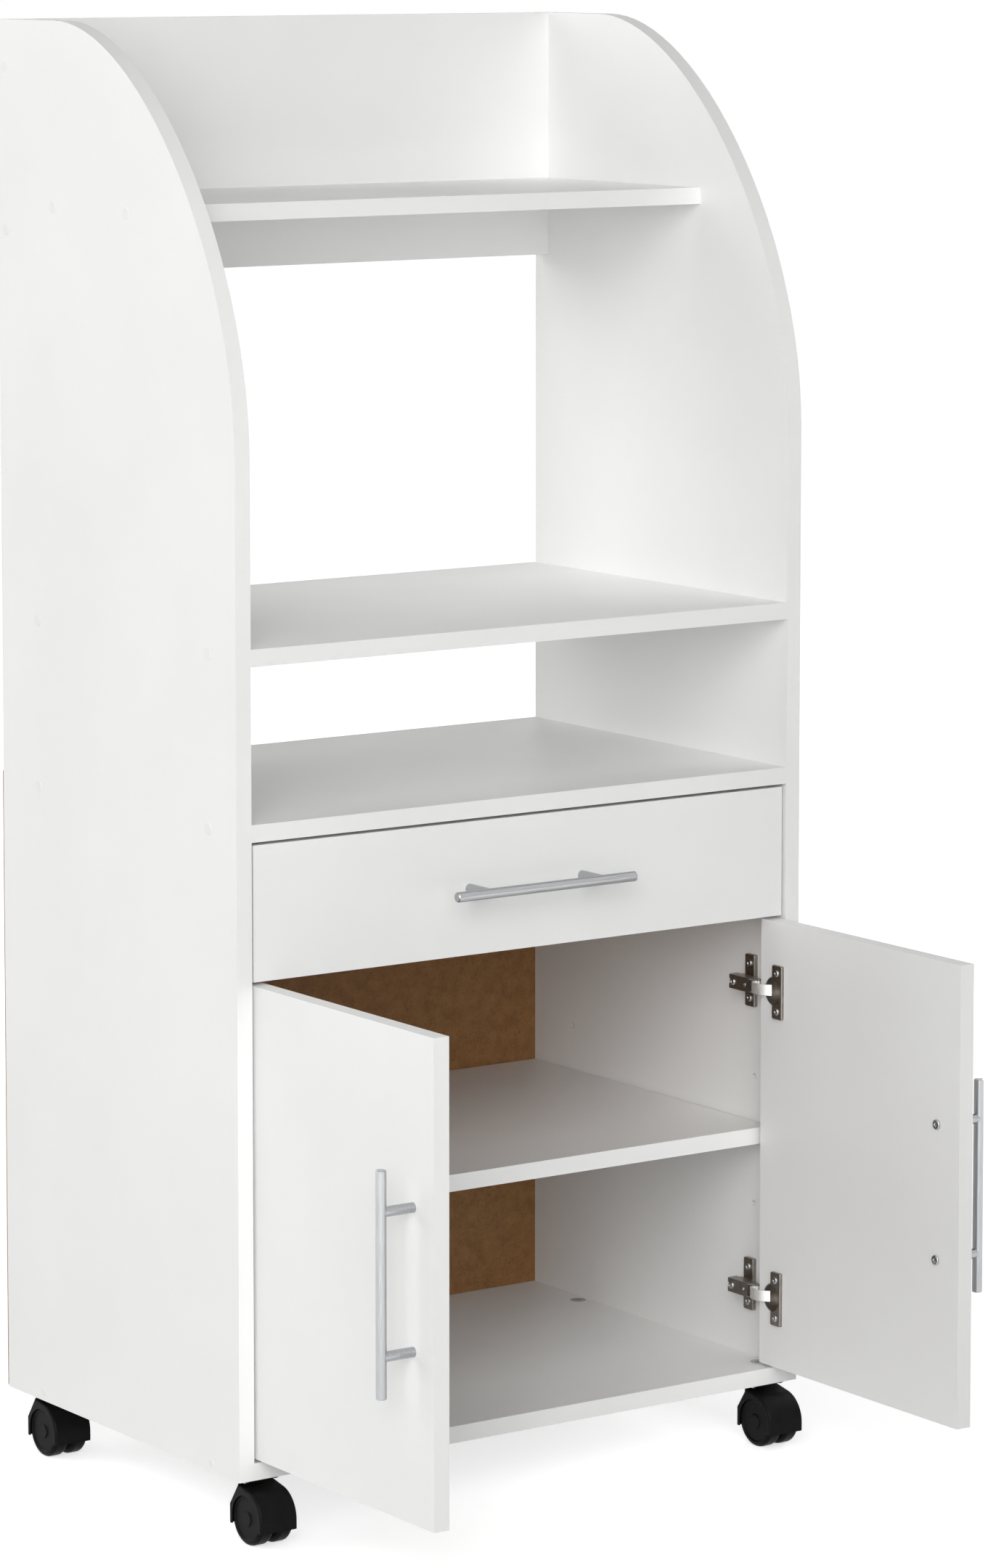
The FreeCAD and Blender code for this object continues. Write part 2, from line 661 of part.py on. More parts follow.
def drawer_connectors():
    pieces = []
    for y, z in drawer_cam_places():
        cam = rod(DRAWER_CAM_R, DRAWER_CAM_DEPTH, Vector(BOX_INNER, y, z), TO_RIGHT)
        pieces.append(cam.cut(drawer_cam_bolt(y, z, FIT)))
        pieces.append(drawer_cam_bolt(y, z, 0))
    return group(on_both_sides(pieces))


def groove(clearance):
    """The space of the drawer's bottom sheet, with clearance where it is cut out of the boards."""
    reach = GROOVE_DEPTH - SLACK + clearance
    x = BOX_INNER + reach
    y = (FRONT_BACK - reach, BOX_BACK - DRAWER_BOARD + reach)
    return block((-x, x), y, (GROOVE_BOTTOM - clearance / 2, GROOVE_BOTTOM + HARDBOARD + clearance / 2))


def drawer_bottom():
    return groove(0)


def drawer_front():
    x = INNER - REVEAL
    board = block((-x, x), (FRONT_FACE, FRONT_BACK), (DRAWER_FRONT_BOTTOM, DRAWER_FRONT_TOP))
    bolts = [drawer_cam_bolt(y, z, FIT) for y, z in drawer_cam_places()]
    cuts = on_both_sides(bolts) + [groove(SLACK)]
    for x, z in drawer_post_places():
        cuts.append(rod(HANDLE_SCREW_R + FIT, BOARD, Vector(x, FRONT_BACK, z), TO_FRONT))
    return board.cut(cuts)


def drawer_back_screw_places():
    y = BOX_BACK - DRAWER_BOARD / 2
    return ((y, BOX_BOTTOM + DRAWER_SCREW_INSET), (y, BOX_TOP - DRAWER_SCREW_INSET))


def drawer_screw_holes():
    depth = DRAWER_SCREW_LENGTH
    return [rod(DRAWER_SCREW_R + FIT, depth, Vector(BOX_OUTER, y, z), TO_LEFT)
            for y, z in drawer_back_screw_places()]


def drawer_box_screws():
    """Flush screws through the drawer sides into its back, and those that hold its runners."""
    screws = []
    for y, z in drawer_back_screw_places():
        screws.append(rod(DRAWER_SCREW_R, DRAWER_SCREW_LENGTH, Vector(BOX_OUTER, y, z), TO_LEFT))
    for seat in drawer_runner_screw_seats():
        screws.append(screw(RUNNER_SCREW_R, DRAWER_RUNNER_SCREW_LENGTH, RUNNER_SCREW_HEAD_R,
                            RUNNER_SCREW_HEAD_THICKNESS, seat, UP))
    return group(on_both_sides(screws))


def drawer_right_side():
    side = block((BOX_INNER, BOX_OUTER), (FRONT_BACK, BOX_BACK), (BOX_BOTTOM, BOX_TOP))
    cuts = [groove(SLACK)] + drawer_screw_holes() + drawer_runner_screw_holes()
    for y, z in drawer_cam_places():
        cuts.append(rod(DRAWER_CAM_R + FIT, DRAWER_CAM_DEPTH + FIT, Vector(BOX_INNER, y, z), TO_RIGHT))
        cuts.append(drawer_cam_bolt(y, z, FIT))
    return side.cut(cuts)


def drawer_back():
    board = block((-BOX_INNER, BOX_INNER), (BOX_BACK - DRAWER_BOARD, BOX_BACK), (BOX_BOTTOM, BOX_TOP))
    return board.cut(on_both_sides(drawer_screw_holes()) + [groove(SLACK)])


# ------------------------------------------------------------------ drawer runners
def runner_screw_ys():
    return (RUNNER_FRONT + RUNNER_SCREW_FROM_END, RUNNER_BACK - RUNNER_SCREW_FROM_END)


def runner_screw_level():
    return LEDGE_TOP + RUNNER_SCREW_RAISE


def runner_screw_holes():
    """Pilot holes in the right side board."""
    start_x = INNER - RUNNER_SHEET
    return group([rod(RUNNER_SCREW_R + FIT, RUNNER_SCREW_LENGTH, Vector(start_x, y, runner_screw_level()),
                      TO_RIGHT) for y in runner_screw_ys()])


def right_cabinet_runner():
    """An angle of thin steel on the side board, with the pin of its front roller."""
    web = block((INNER - RUNNER_SHEET, INNER), (RUNNER_FRONT, RUNNER_BACK),
                (LEDGE_TOP - RUNNER_SHEET, LEDGE_TOP + RUNNER_WEB_HEIGHT))
    ledge = block((INNER - RUNNER_SHEET - RUNNER_LEDGE, INNER), (RUNNER_FRONT, RUNNER_BACK),
                  (LEDGE_TOP - RUNNER_SHEET, LEDGE_TOP))
    relief = block((INNER - RUNNER_SHEET - RUNNER_LEDGE, INNER - RUNNER_SHEET),
                   (RUNNER_FRONT, CABINET_ROLLER_Y + ROLLER_FROM_END), (LEDGE_TOP - RUNNER_SHEET, LEDGE_TOP))
    pin_length = INNER - ROLLER_X + ROLLER_WIDTH / 2
    pin = rod(ROLLER_PIN_R, pin_length, Vector(INNER, CABINET_ROLLER_Y, ROLLER_LEVEL), TO_LEFT)
    return fuse([web, ledge.cut(relief), pin]).cut(runner_screw_holes())


def drawer_runner_screw_seats():
    """Seats under the foot of the right drawer runner."""
    x = (BOX_INNER + BOX_OUTER) / 2
    return [Vector(x, y, BOX_BOTTOM - RUNNER_SHEET) for y in runner_screw_ys()]


def drawer_runner_screw_holes():
    """Pilot holes up into the underside of the right drawer side."""
    return [rod(RUNNER_SCREW_R + FIT, DRAWER_RUNNER_SCREW_LENGTH + FIT, seat, UP)
            for seat in drawer_runner_screw_seats()]


def right_drawer_runner():
    """An angle under the drawer side with an outward track, and the pin of its back roller."""
    foot_bottom = BOX_BOTTOM - RUNNER_SHEET
    leg_face = BOX_OUTER + RUNNER_SHEET
    y = (RUNNER_FRONT, RUNNER_BACK)
    foot = block((BOX_INNER, leg_face), y, (foot_bottom, BOX_BOTTOM))
    leg = block((BOX_OUTER, leg_face), y, (foot_bottom, foot_bottom + DRAWER_RUNNER_LEG))
    track = block((BOX_OUTER, leg_face + DRAWER_RUNNER_TRACK), y,
                  (TRACK_UNDERSIDE, TRACK_UNDERSIDE + RUNNER_SHEET))
    pin = rod(ROLLER_PIN_R, ROLLER_X - BOX_OUTER + ROLLER_WIDTH / 2,
              Vector(BOX_OUTER, DRAWER_ROLLER_Y, ROLLER_LEVEL), TO_RIGHT)
    return fuse([foot, leg, track, pin]).cut(drawer_runner_screw_holes())


def rollers(y):
    """A pair of plain rollers, one at each side, on the axis at y."""
    start = Vector(ROLLER_X - ROLLER_WIDTH / 2, y, ROLLER_LEVEL)
    tyre = rod(ROLLER_R, ROLLER_WIDTH, start, TO_RIGHT)
    bore = rod(ROLLER_PIN_R + FIT, ROLLER_WIDTH, start, TO_RIGHT)
    return group(on_both_sides([tyre.cut(bore)]))


def runner_screws():
    seat_x = INNER - RUNNER_SHEET
    screws = []
    for y in runner_screw_ys():
        seat = Vector(seat_x, y, runner_screw_level())
        screws.append(screw(RUNNER_SCREW_R, RUNNER_SCREW_LENGTH, RUNNER_SCREW_HEAD_R,
                            RUNNER_SCREW_HEAD_THICKNESS, seat, TO_RIGHT))
    return group(on_both_sides(screws))


# ------------------------------------------------------------------ bar handles
def handle_bar(middle, direction):
    """A round bar, its ends chamfered, centred on the middle and lying along direction."""
    half = HANDLE_BAR_LENGTH / 2
    inner_r = HANDLE_BAR_R - HANDLE_BAR_CHAMFER
    inner_half = half - HANDLE_BAR_CHAMFER
    outline = ((0, -half), (inner_r, -half), (HANDLE_BAR_R, -inner_half), (HANDLE_BAR_R, inner_half),
               (inner_r, half), (0, half))
    return turned(outline, middle, direction)


def handle_post(foot, direction, bar_direction):
    """A post from the front's face to the bar, saddled round the bar and bored for its screw."""
    post = rod(HANDLE_POST_R, HANDLE_STAND_OFF, foot, direction)
    middle = foot + direction * HANDLE_STAND_OFF
    saddle_start = middle - bar_direction * HANDLE_BAR_LENGTH / 2
    saddle = rod(HANDLE_BAR_R, HANDLE_BAR_LENGTH, saddle_start, bar_direction)
    bore = rod(HANDLE_SCREW_R + FIT, HANDLE_SCREW_IN_POST + SLACK, foot, direction)
    return post.cut(saddle).cut(bore)


def handle_screw(foot, direction):
    """A machine screw from behind the board into a post."""
    seat = foot - direction * BOARD
    length = BOARD + HANDLE_SCREW_IN_POST
    return screw(HANDLE_SCREW_R, length, HANDLE_SCREW_HEAD_R, HANDLE_SCREW_HEAD_THICKNESS, seat, direction)


def drawer_post_places():
    z = (DRAWER_FRONT_BOTTOM + DRAWER_FRONT_TOP) / 2
    return ((-HANDLE_POST_CENTRES / 2, z), (HANDLE_POST_CENTRES / 2, z))


def drawer_handle_feet():
    return [Vector(x, FRONT_FACE, z) for x, z in drawer_post_places()]


def drawer_handle_bar():
    z = drawer_post_places()[0][1]
    return handle_bar(Vector(0, FRONT_FACE - HANDLE_STAND_OFF, z), TO_RIGHT)


# ------------------------------------------------------------------ doors, built open on the right
def open_x(depth):
    """X of a plane this deep behind the open right door's outer face."""
    return PIVOT_X + PIVOT_FROM_FACE - depth


def open_y(along):
    """Y of a line this far from the open right door's hinge edge."""
    return PIVOT_Y + PIVOT_FROM_EDGE - along


def door_handle_feet():
    y = open_y(DOOR_WIDTH - HANDLE_FROM_FREE_EDGE)
    half = HANDLE_POST_CENTRES / 2
    return [Vector(open_x(0), y, DOOR_MIDDLE - half), Vector(open_x(0), y, DOOR_MIDDLE + half)]


def door_handle_bar():
    foot = door_handle_feet()[0]
    return handle_bar(Vector(foot.x + HANDLE_STAND_OFF, foot.y, DOOR_MIDDLE), UP)


def cup_centre(level):
    """Middle of a hinge cup's mouth in the open right door's inner face."""
    return Vector(open_x(BOARD), open_y(CUP_FROM_EDGE), level)


def cup_screw_places():
    """Seats of the cup screws on the flanges."""
    x = open_x(BOARD + FLANGE_THICKNESS)
    y = open_y(CUP_FROM_EDGE + CUP_RIM_R - FLANGE_WIDTH / 2)
    half = CUP_SCREW_CENTRES / 2
    return [Vector(x, y, level + side * half) for level in HINGE_LEVELS for side in (-1, 1)]


def right_door():
    door = block((open_x(0), open_x(BOARD)), (open_y(0), open_y(DOOR_WIDTH)), (DOOR_BOTTOM, DOOR_TOP))
    cuts = []
    for level in HINGE_LEVELS:
        cuts.append(rod(CUP_R + FIT, CUP_DEPTH + FIT, cup_centre(level), TO_RIGHT))
    for seat in cup_screw_places():
        cuts.append(rod(CUP_SCREW_R + FIT, CUP_SCREW_LENGTH + FIT, seat, TO_RIGHT))
    for foot in door_handle_feet():
        cuts.append(rod(HANDLE_SCREW_R + FIT, BOARD, foot, TO_LEFT))
    return door.cut(cuts)


def rounded_hinge_plate(x, y, z):
    """A plate on a board, with round corners and a round edge on its face away from the board."""
    plate = block(x, y, z)
    plate = plate.makeFillet(PLATE_CORNER_R, [edge for edge in plate.Edges if abs(edge.tangentAt(0).x) > 0.5])
    outer = min(x)
    rim = [edge for edge in plate.Edges if edge.BoundBox.XMax < outer + TINY]
    return plate.makeFillet(PLATE_EDGE_R, rim)


def hinge_cup(level):
    """A cup: a thin round bowl in the door, with a tall flange plate across its mouth's far side."""
    mouth = cup_centre(level)
    inner_r = CUP_R - CUP_WALL
    bowl = rod(CUP_R, CUP_DEPTH, mouth, TO_RIGHT)
    rim = rod(CUP_RIM_R, CUP_RIM_THICKNESS, mouth, TO_LEFT)
    far_side = mouth.y - CUP_RIM_R
    wing = rounded_hinge_plate((mouth.x - FLANGE_THICKNESS, mouth.x), (far_side, far_side + FLANGE_WIDTH),
                               (level - FLANGE_HEIGHT / 2, level + FLANGE_HEIGHT / 2))
    hollow_start = mouth + TO_LEFT * FLANGE_THICKNESS
    hollow = rod(inner_r, CUP_DEPTH + FLANGE_THICKNESS - CUP_WALL, hollow_start, TO_RIGHT)
    cup = fuse([bowl, rim, wing]).cut(hollow)
    holes = [rod(CUP_SCREW_R + FIT, 2 * FLANGE_THICKNESS, seat, TO_RIGHT) for seat in cup_screw_places()]
    return cup.cut(holes)


def right_hinge_cups():
    return group([hinge_cup(level) for level in HINGE_LEVELS])


def right_door_screws():
    """The screws of both cups and of the handle."""
    screws = []
    for seat in cup_screw_places():
        screws.append(screw(CUP_SCREW_R, CUP_SCREW_LENGTH, CUP_SCREW_HEAD_R, CUP_SCREW_HEAD_THICKNESS,
                            seat, TO_RIGHT))
    for foot in door_handle_feet():
        screws.append(handle_screw(foot, TO_RIGHT))
    return group(screws)


# ------------------------------------------------------------------ hinge plates, arms and links
def hinge_plate_screw_places():
    x = INNER - PLATE_THICKNESS
    y = (PLATE_FRONT + PLATE_BACK) / 2
    half = PLATE_SCREW_CENTRES / 2
    return [Vector(x, y, level + side * half) for level in HINGE_LEVELS for side in (-1, 1)]


def hinge_plate_holes():
    """Pilot holes in the right side board."""
    return group([rod(PLATE_SCREW_R + FIT, PLATE_SCREW_LENGTH + FIT, seat, TO_RIGHT)
                  for seat in hinge_plate_screw_places()])


def arm_screw(level, clearance):
    """The screw that clamps the arm through its notch."""
    y = BLOCK_BACK - ARM_SCREW_FROM_TAIL
    seat = Vector(INNER - ARM_STAND_OFF, y, level)
    if clearance:
        return rod(ARM_SCREW_R + clearance, ARM_SCREW_DEPTH + clearance, seat, TO_RIGHT)
    return screw(ARM_SCREW_R, ARM_SCREW_DEPTH, ARM_SCREW_HEAD_R, ARM_SCREW_HEAD_THICKNESS, seat, TO_RIGHT)


def adjusting_screw(level, clearance):
    """The headless screw that sets the arm's height off its block."""
    y = BLOCK_FRONT + ADJUSTING_SCREW_FROM_NOSE
    start = Vector(INNER - ARM_STAND_OFF - ADJUSTING_SCREW_PROUD, y, level)
    length = ARM_SCREW_DEPTH + ADJUSTING_SCREW_PROUD + clearance
    return rod(ARM_SCREW_R + clearance, length, start, TO_RIGHT)


def hinge_plate(level):
    """A mounting plate on the side board with the block that the arm slides over."""
    base = rounded_hinge_plate((INNER - PLATE_THICKNESS, INNER), (PLATE_FRONT, PLATE_BACK),
                               (level - PLATE_HEIGHT / 2, level + PLATE_HEIGHT / 2))
    block_face = INNER - ARM_STAND_OFF + ARM_SHEET + SLACK / 2
    seat = block((block_face, INNER - PLATE_THICKNESS), (BLOCK_FRONT, BLOCK_BACK),
                 (level - PLATE_BLOCK_HALF_HEIGHT, level + PLATE_BLOCK_HALF_HEIGHT))
    undercut = block((INNER - PLATE_THICKNESS - PLATE_BLOCK_UNDERCUT, INNER - PLATE_THICKNESS),
                     (BLOCK_FRONT, PLATE_FRONT),
                     (level - PLATE_BLOCK_HALF_HEIGHT, level + PLATE_BLOCK_HALF_HEIGHT))
    plate = fuse([base, seat.cut(undercut)])
    holes = [arm_screw(level, FIT), adjusting_screw(level, FIT), hinge_plate_holes()]
    return plate.cut(holes)


def hinge_arm(level):
    """A folded channel over the block, with a notch at its tail and an eye at its nose."""
    face = INNER - ARM_STAND_OFF
    z = (level - ARM_HALF_HEIGHT, level + ARM_HALF_HEIGHT)
    eye_start = Vector(LINK_PIN_X, LINK_PIN_Y, z[0])
    cheek_outline = [
        Vector(face, BLOCK_BACK, z[0]),
        Vector(face + ARM_CHEEK_DEPTH, BLOCK_BACK, z[0]),
        Vector(face + ARM_CHEEK_DEPTH, ARM_FRONT, z[0]),
        Vector(LINK_PIN_X + ARM_EYE_R, LINK_PIN_Y, z[0]),
        Vector(LINK_PIN_X - ARM_EYE_R, LINK_PIN_Y, z[0]),
        Vector(face, ARM_FRONT, z[0]),
    ]
    outline = Part.Face(Part.makePolygon(cheek_outline + cheek_outline[:1]))
    body = outline.extrude(UP * (2 * ARM_HALF_HEIGHT))
    body = body.fuse(rod(ARM_EYE_R, 2 * ARM_HALF_HEIGHT, eye_start, UP))
    gap = (level - ARM_CHEEK_GAP / 2, level + ARM_CHEEK_GAP / 2)
    channel = block((face + ARM_SHEET, INNER), (BLOCK_FRONT, BLOCK_BACK), gap)
    mouth = block((face - ARM_EYE_R, INNER), (LINK_PIN_Y - 2 * ARM_EYE_R, ARM_FRONT), gap)
    front_channel = block((face + ARM_SHEET, INNER), (ARM_FRONT, BLOCK_FRONT), gap)
    notch_end = Vector(face - ARM_SHEET, BLOCK_BACK - ARM_NOTCH_LENGTH + ARM_NOTCH_R, level)
    notch = rod(ARM_NOTCH_R, 3 * ARM_SHEET, notch_end, TO_RIGHT)
    notch = notch.fuse(block((face - ARM_SHEET, face + 2 * ARM_SHEET), (notch_end.y, BLOCK_BACK),
                             (level - ARM_NOTCH_R, level + ARM_NOTCH_R)))
    arm = body.cut([channel, mouth, front_channel, notch, adjusting_screw(level, FIT)])
    pin = rod(LINK_PIN_R, 2 * ARM_HALF_HEIGHT, eye_start, UP)
    return fuse([arm, pin])


def link_curve(offset):
    """The link's middle line moved sideways, as a smooth curve through a few stations."""
    poles = [Vector(PIVOT_X - across, PIVOT_Y + along, 0) for across, along in LINK_LINE]
    middle = Part.BezierCurve()
    middle.setPoles(poles)
    points = []
    for station in range(LINK_STATIONS):
        share = station / (LINK_STATIONS - 1)
        along = middle.tangent(share)[0]
        points.append(middle.value(share) + Vector(-along.y, along.x, 0) * offset)
    curve = Part.BSplineCurve()
    curve.interpolate(points)
    return curve, points


def hinge_link(level):
    """A bent strip that turns on the arm's pin and reaches into the cup."""
    left, left_points = link_curve(LINK_THICKNESS / 2)
    right, right_points = link_curve(-LINK_THICKNESS / 2)
    outline = Part.Wire([
        left.toShape(),
        Part.makeLine(left_points[-1], right_points[-1]),
        right.toShape(),
        Part.makeLine(right_points[0], left_points[0]),
    ])
    strip = Part.Face(outline).extrude(UP * (2 * LINK_HALF_HEIGHT))
    strip.translate(UP * (level - LINK_HALF_HEIGHT))
    start = Vector(LINK_PIN_X, LINK_PIN_Y, level - LINK_HALF_HEIGHT)
    eye = rod(LINK_EYE_R, 2 * LINK_HALF_HEIGHT, start, UP)
    bore = rod(LINK_PIN_R + FIT, 2 * LINK_HALF_HEIGHT, start, UP)
    return fuse([strip, eye]).cut(bore)


def right_hinge_links():
    return group([hinge_link(level) for level in HINGE_LEVELS])


def hinge_plates():
    return group(on_both_sides([hinge_plate(level) for level in HINGE_LEVELS]))


def hinge_arms():
    return group(on_both_sides([hinge_arm(level) for level in HINGE_LEVELS]))


def hinge_screws():
    """The screws of the hinge plates and arms on both side boards."""
    screws = []
    for seat in hinge_plate_screw_places():
        screws.append(screw(PLATE_SCREW_R, PLATE_SCREW_LENGTH, PLATE_SCREW_HEAD_R, PLATE_SCREW_HEAD_THICKNESS,
                            seat, TO_RIGHT))
    for level in HINGE_LEVELS:
        screws.append(arm_screw(level, 0))
        screws.append(adjusting_screw(level, 0))
    return group(on_both_sides(screws))


# ------------------------------------------------------------------ casters
def caster_top_plate(x, y):
    """A screwed-on plate with its race and the riveted swivel pin below it."""
    half = CASTER_PLATE / 2
    plate = rounded_plate(half, half, CASTER_PLATE_THICKNESS, CASTER_PLATE_CORNER_R,
                          Vector(x, y, PLATE_UNDERSIDE))
    outline = ((0, RACE_UNDERSIDE), (RACE_FOOT_R, RACE_UNDERSIDE), (RACE_R, PLATE_UNDERSIDE),
               (0, PLATE_UNDERSIDE))
    race = turned(outline, Vector(x, y, 0), UP)
    pin_length = RACE_UNDERSIDE - NECK_TOP + SWIVEL_PIN_IN_HOOD
    pin = rod(SWIVEL_PIN_R, pin_length, Vector(x, y, RACE_UNDERSIDE), DOWN)
    half = CASTER_SCREW_CENTRES / 2
    holes = [rod(CASTER_SCREW_R + FIT, CASTER_PLATE_THICKNESS, Vector(x + dx, y + dy, PLATE_UNDERSIDE), UP)
             for dx in (-half, half) for dy in (-half, half)]
    return fuse([plate, race, pin]).cut(holes)


def caster_top_plates():
    return group(on_both_sides([caster_top_plate(x, y) for x, y in caster_places()]))


def hood_outline():
    """The hood's side view about the axle: upright front, round crown, rising top, slope, upright back."""
    rise = math.radians(HOOD_RISE)
    low = HOOD_BOTTOM - WHEEL_R
    front_low = Vector(0, -HOOD_R, low)
    front_high = Vector(0, -HOOD_R, 0)
    crown = Vector(0, -HOOD_R * math.sin(rise), HOOD_R * math.cos(rise))
    shoulder = Vector(0, HOOD_SHOULDER, crown.z + (HOOD_SHOULDER - crown.y) * math.tan(rise))
    knee = Vector(0, HOOD_BACK, HOOD_KNEE)
    back_low = Vector(0, HOOD_BACK, low)
    return Part.Wire([
        Part.makeLine(front_low, front_high),
        Part.Arc(front_high, Vector(0, -HOOD_R * math.sqrt(0.5), HOOD_R * math.sqrt(0.5)), crown).toShape(),
        Part.makeLine(crown, shoulder),
        Part.makeLine(shoulder, knee),
        Part.makeLine(knee, back_low),
        Part.makeLine(back_low, front_low),
    ])


def caster_hood(x, y):
    """A one-piece hood: cheeks and crown round both wheels, a middle web, and the swivel neck."""
    shell = Part.Face(hood_outline()).extrude(Vector(2 * HOOD_OUTER, 0, 0))
    shell.translate(Vector(-HOOD_OUTER, -TRAIL, WHEEL_R))
    crown_edges = [edge for edge in shell.Edges
                   if abs(abs(edge.CenterOfMass.x) - HOOD_OUTER) < TINY and edge.BoundBox.ZMax > WHEEL_R + 1]
    shell = shell.makeFillet(HOOD_EDGE_R, crown_edges)
    neck_low = NECK_TOP - NECK_HEIGHT
    neck = turned(((0, neck_low - NECK_TAPER), (NECK_FOOT_R, neck_low - NECK_TAPER), (NECK_R, neck_low),
                   (NECK_R, NECK_TOP), (0, NECK_TOP)), Vector(0, 0, 0), UP)
    axle = Vector(0, -TRAIL, WHEEL_R)
    side = HOOD_INNER - HOOD_WEB / 2
    bore = rod(HOOD_BORE_R, side, axle + Vector(HOOD_WEB / 2, 0, 0), TO_RIGHT)
    well = block((HOOD_WEB / 2, HOOD_INNER), (axle.y - HOOD_BORE_R, axle.y + HOOD_BORE_R - HOOD_WALL),
                 (0, WHEEL_R))
    arch_x = (HOOD_INNER - HOOD_CHEEK, HOOD_OUTER + HOOD_CHEEK)
    arch = rod(HOOD_ARCH_R, arch_x[1] - arch_x[0], axle + Vector(arch_x[0], 0, 0), TO_RIGHT)
    arch_low = block(arch_x, (axle.y - HOOD_ARCH_R, axle.y + HOOD_ARCH_R), (0, WHEEL_R))
    cuts = on_both_sides([bore, well, arch, arch_low])
    cuts.append(rod(AXLE_R + FIT, HOOD_WEB, axle + Vector(-HOOD_WEB / 2, 0, 0), TO_RIGHT))
    cuts.append(rod(SWIVEL_PIN_R + FIT, SWIVEL_PIN_IN_HOOD + SLACK, Vector(0, 0, NECK_TOP), DOWN))
    hood = fuse([shell, neck]).cut(cuts)
    hood.translate(Vector(x, y, 0))
    return hood


def caster_axle(x, y):
    length = 2 * (WHEEL_OUTER - AXLE_SHORT_OF_FACE)
    return rod(AXLE_R, length, Vector(x - length / 2, y - TRAIL, WHEEL_R), TO_RIGHT)


def caster_wheel():
    """One wheel turned about X from its inner face, with round shoulders and a dished disc."""
    shoulder_r = WHEEL_R - WHEEL_SHOULDER
    bore_end = WHEEL_OUTER - AXLE_SHORT_OF_FACE + SLACK
    diagonal = WHEEL_SHOULDER * math.sqrt(0.5)
    inner_mid = Vector(WHEEL_INNER + WHEEL_SHOULDER - diagonal, 0, shoulder_r + diagonal)
    outer_mid = Vector(WHEEL_OUTER - WHEEL_SHOULDER + diagonal, 0, shoulder_r + diagonal)
    dish = WHEEL_OUTER - WHEEL_DISH
    disc_r = WHEEL_R - WHEEL_RIM
    ring = [
        Vector(dish, 0, disc_r - WHEEL_DISH),
        Vector(dish, 0, HUB_R + WHEEL_DISH),
        Vector(WHEEL_OUTER, 0, HUB_R),
        Vector(WHEEL_OUTER, 0, 0),
        Vector(bore_end, 0, 0),
        Vector(bore_end, 0, AXLE_R + FIT),
        Vector(WHEEL_INNER, 0, AXLE_R + FIT),
        Vector(WHEEL_INNER, 0, shoulder_r),
    ]
    edges = [
        Part.Arc(ring[-1], inner_mid, Vector(WHEEL_INNER + WHEEL_SHOULDER, 0, WHEEL_R)).toShape(),
        Part.makeLine(Vector(WHEEL_INNER + WHEEL_SHOULDER, 0, WHEEL_R),
                      Vector(WHEEL_OUTER - WHEEL_SHOULDER, 0, WHEEL_R)),
        Part.Arc(Vector(WHEEL_OUTER - WHEEL_SHOULDER, 0, WHEEL_R), outer_mid,
                 Vector(WHEEL_OUTER, 0, shoulder_r)).toShape(),
        Part.makeLine(Vector(WHEEL_OUTER, 0, shoulder_r), Vector(WHEEL_OUTER, 0, disc_r)),
        Part.makeLine(Vector(WHEEL_OUTER, 0, disc_r), ring[0]),
    ]
    edges += [Part.makeLine(ring[number], ring[number + 1]) for number in range(len(ring) - 1)]
    return Part.Face(Part.Wire(edges)).revolve(Vector(0, 0, 0), TO_RIGHT, 360)


def caster_wheels(x, y):
    pair = group(on_both_sides([caster_wheel()]))
    pair.translate(Vector(x, y - TRAIL, WHEEL_R))
    return pair


# ------------------------------------------------------------------ every piece by name
def casters():
    pieces = {}
    for side, sign in (("left", -1), ("right", 1)):
        for end, (x, y) in zip(("front", "back"), caster_places()):
            name = end + "_" + side + "_caster_"
            pieces[name + "hood"] = caster_hood(sign * x, y)
            pieces[name + "axle"] = caster_axle(sign * x, y)
            pieces[name + "wheels"] = caster_wheels(sign * x, y)
    return pieces


def doors():
    right = {
        "door": right_door(),
        "door_handle_bar": door_handle_bar(),
        "door_handle_posts": group([handle_post(foot, TO_RIGHT, UP) for foot in door_handle_feet()]),
        "door_screws": right_door_screws(),
        "hinge_cups": right_hinge_cups(),
        "hinge_links": right_hinge_links(),
    }
    pieces = {"right_" + name: shape for name, shape in right.items()}
    pieces.update({"left_" + name: mirrored(shape) for name, shape in right.items()})
    return pieces


def drawer():
    side = drawer_right_side()
    runner = right_drawer_runner()
    feet = drawer_handle_feet()
    return {
        "drawer_front": drawer_front(),
        "drawer_right_side": side,
        "drawer_left_side": mirrored(side),
        "drawer_back": drawer_back(),
        "drawer_bottom": drawer_bottom(),
        "drawer_connectors": drawer_connectors(),
        "drawer_box_screws": drawer_box_screws(),
        "right_drawer_runner": runner,
        "left_drawer_runner": mirrored(runner),
        "drawer_rollers": rollers(DRAWER_ROLLER_Y),
        "drawer_handle_bar": drawer_handle_bar(),
        "drawer_handle_posts": group([handle_post(foot, TO_FRONT, TO_RIGHT) for foot in feet]),
        "drawer_handle_screws": group([handle_screw(foot, TO_FRONT) for foot in feet]),
    }


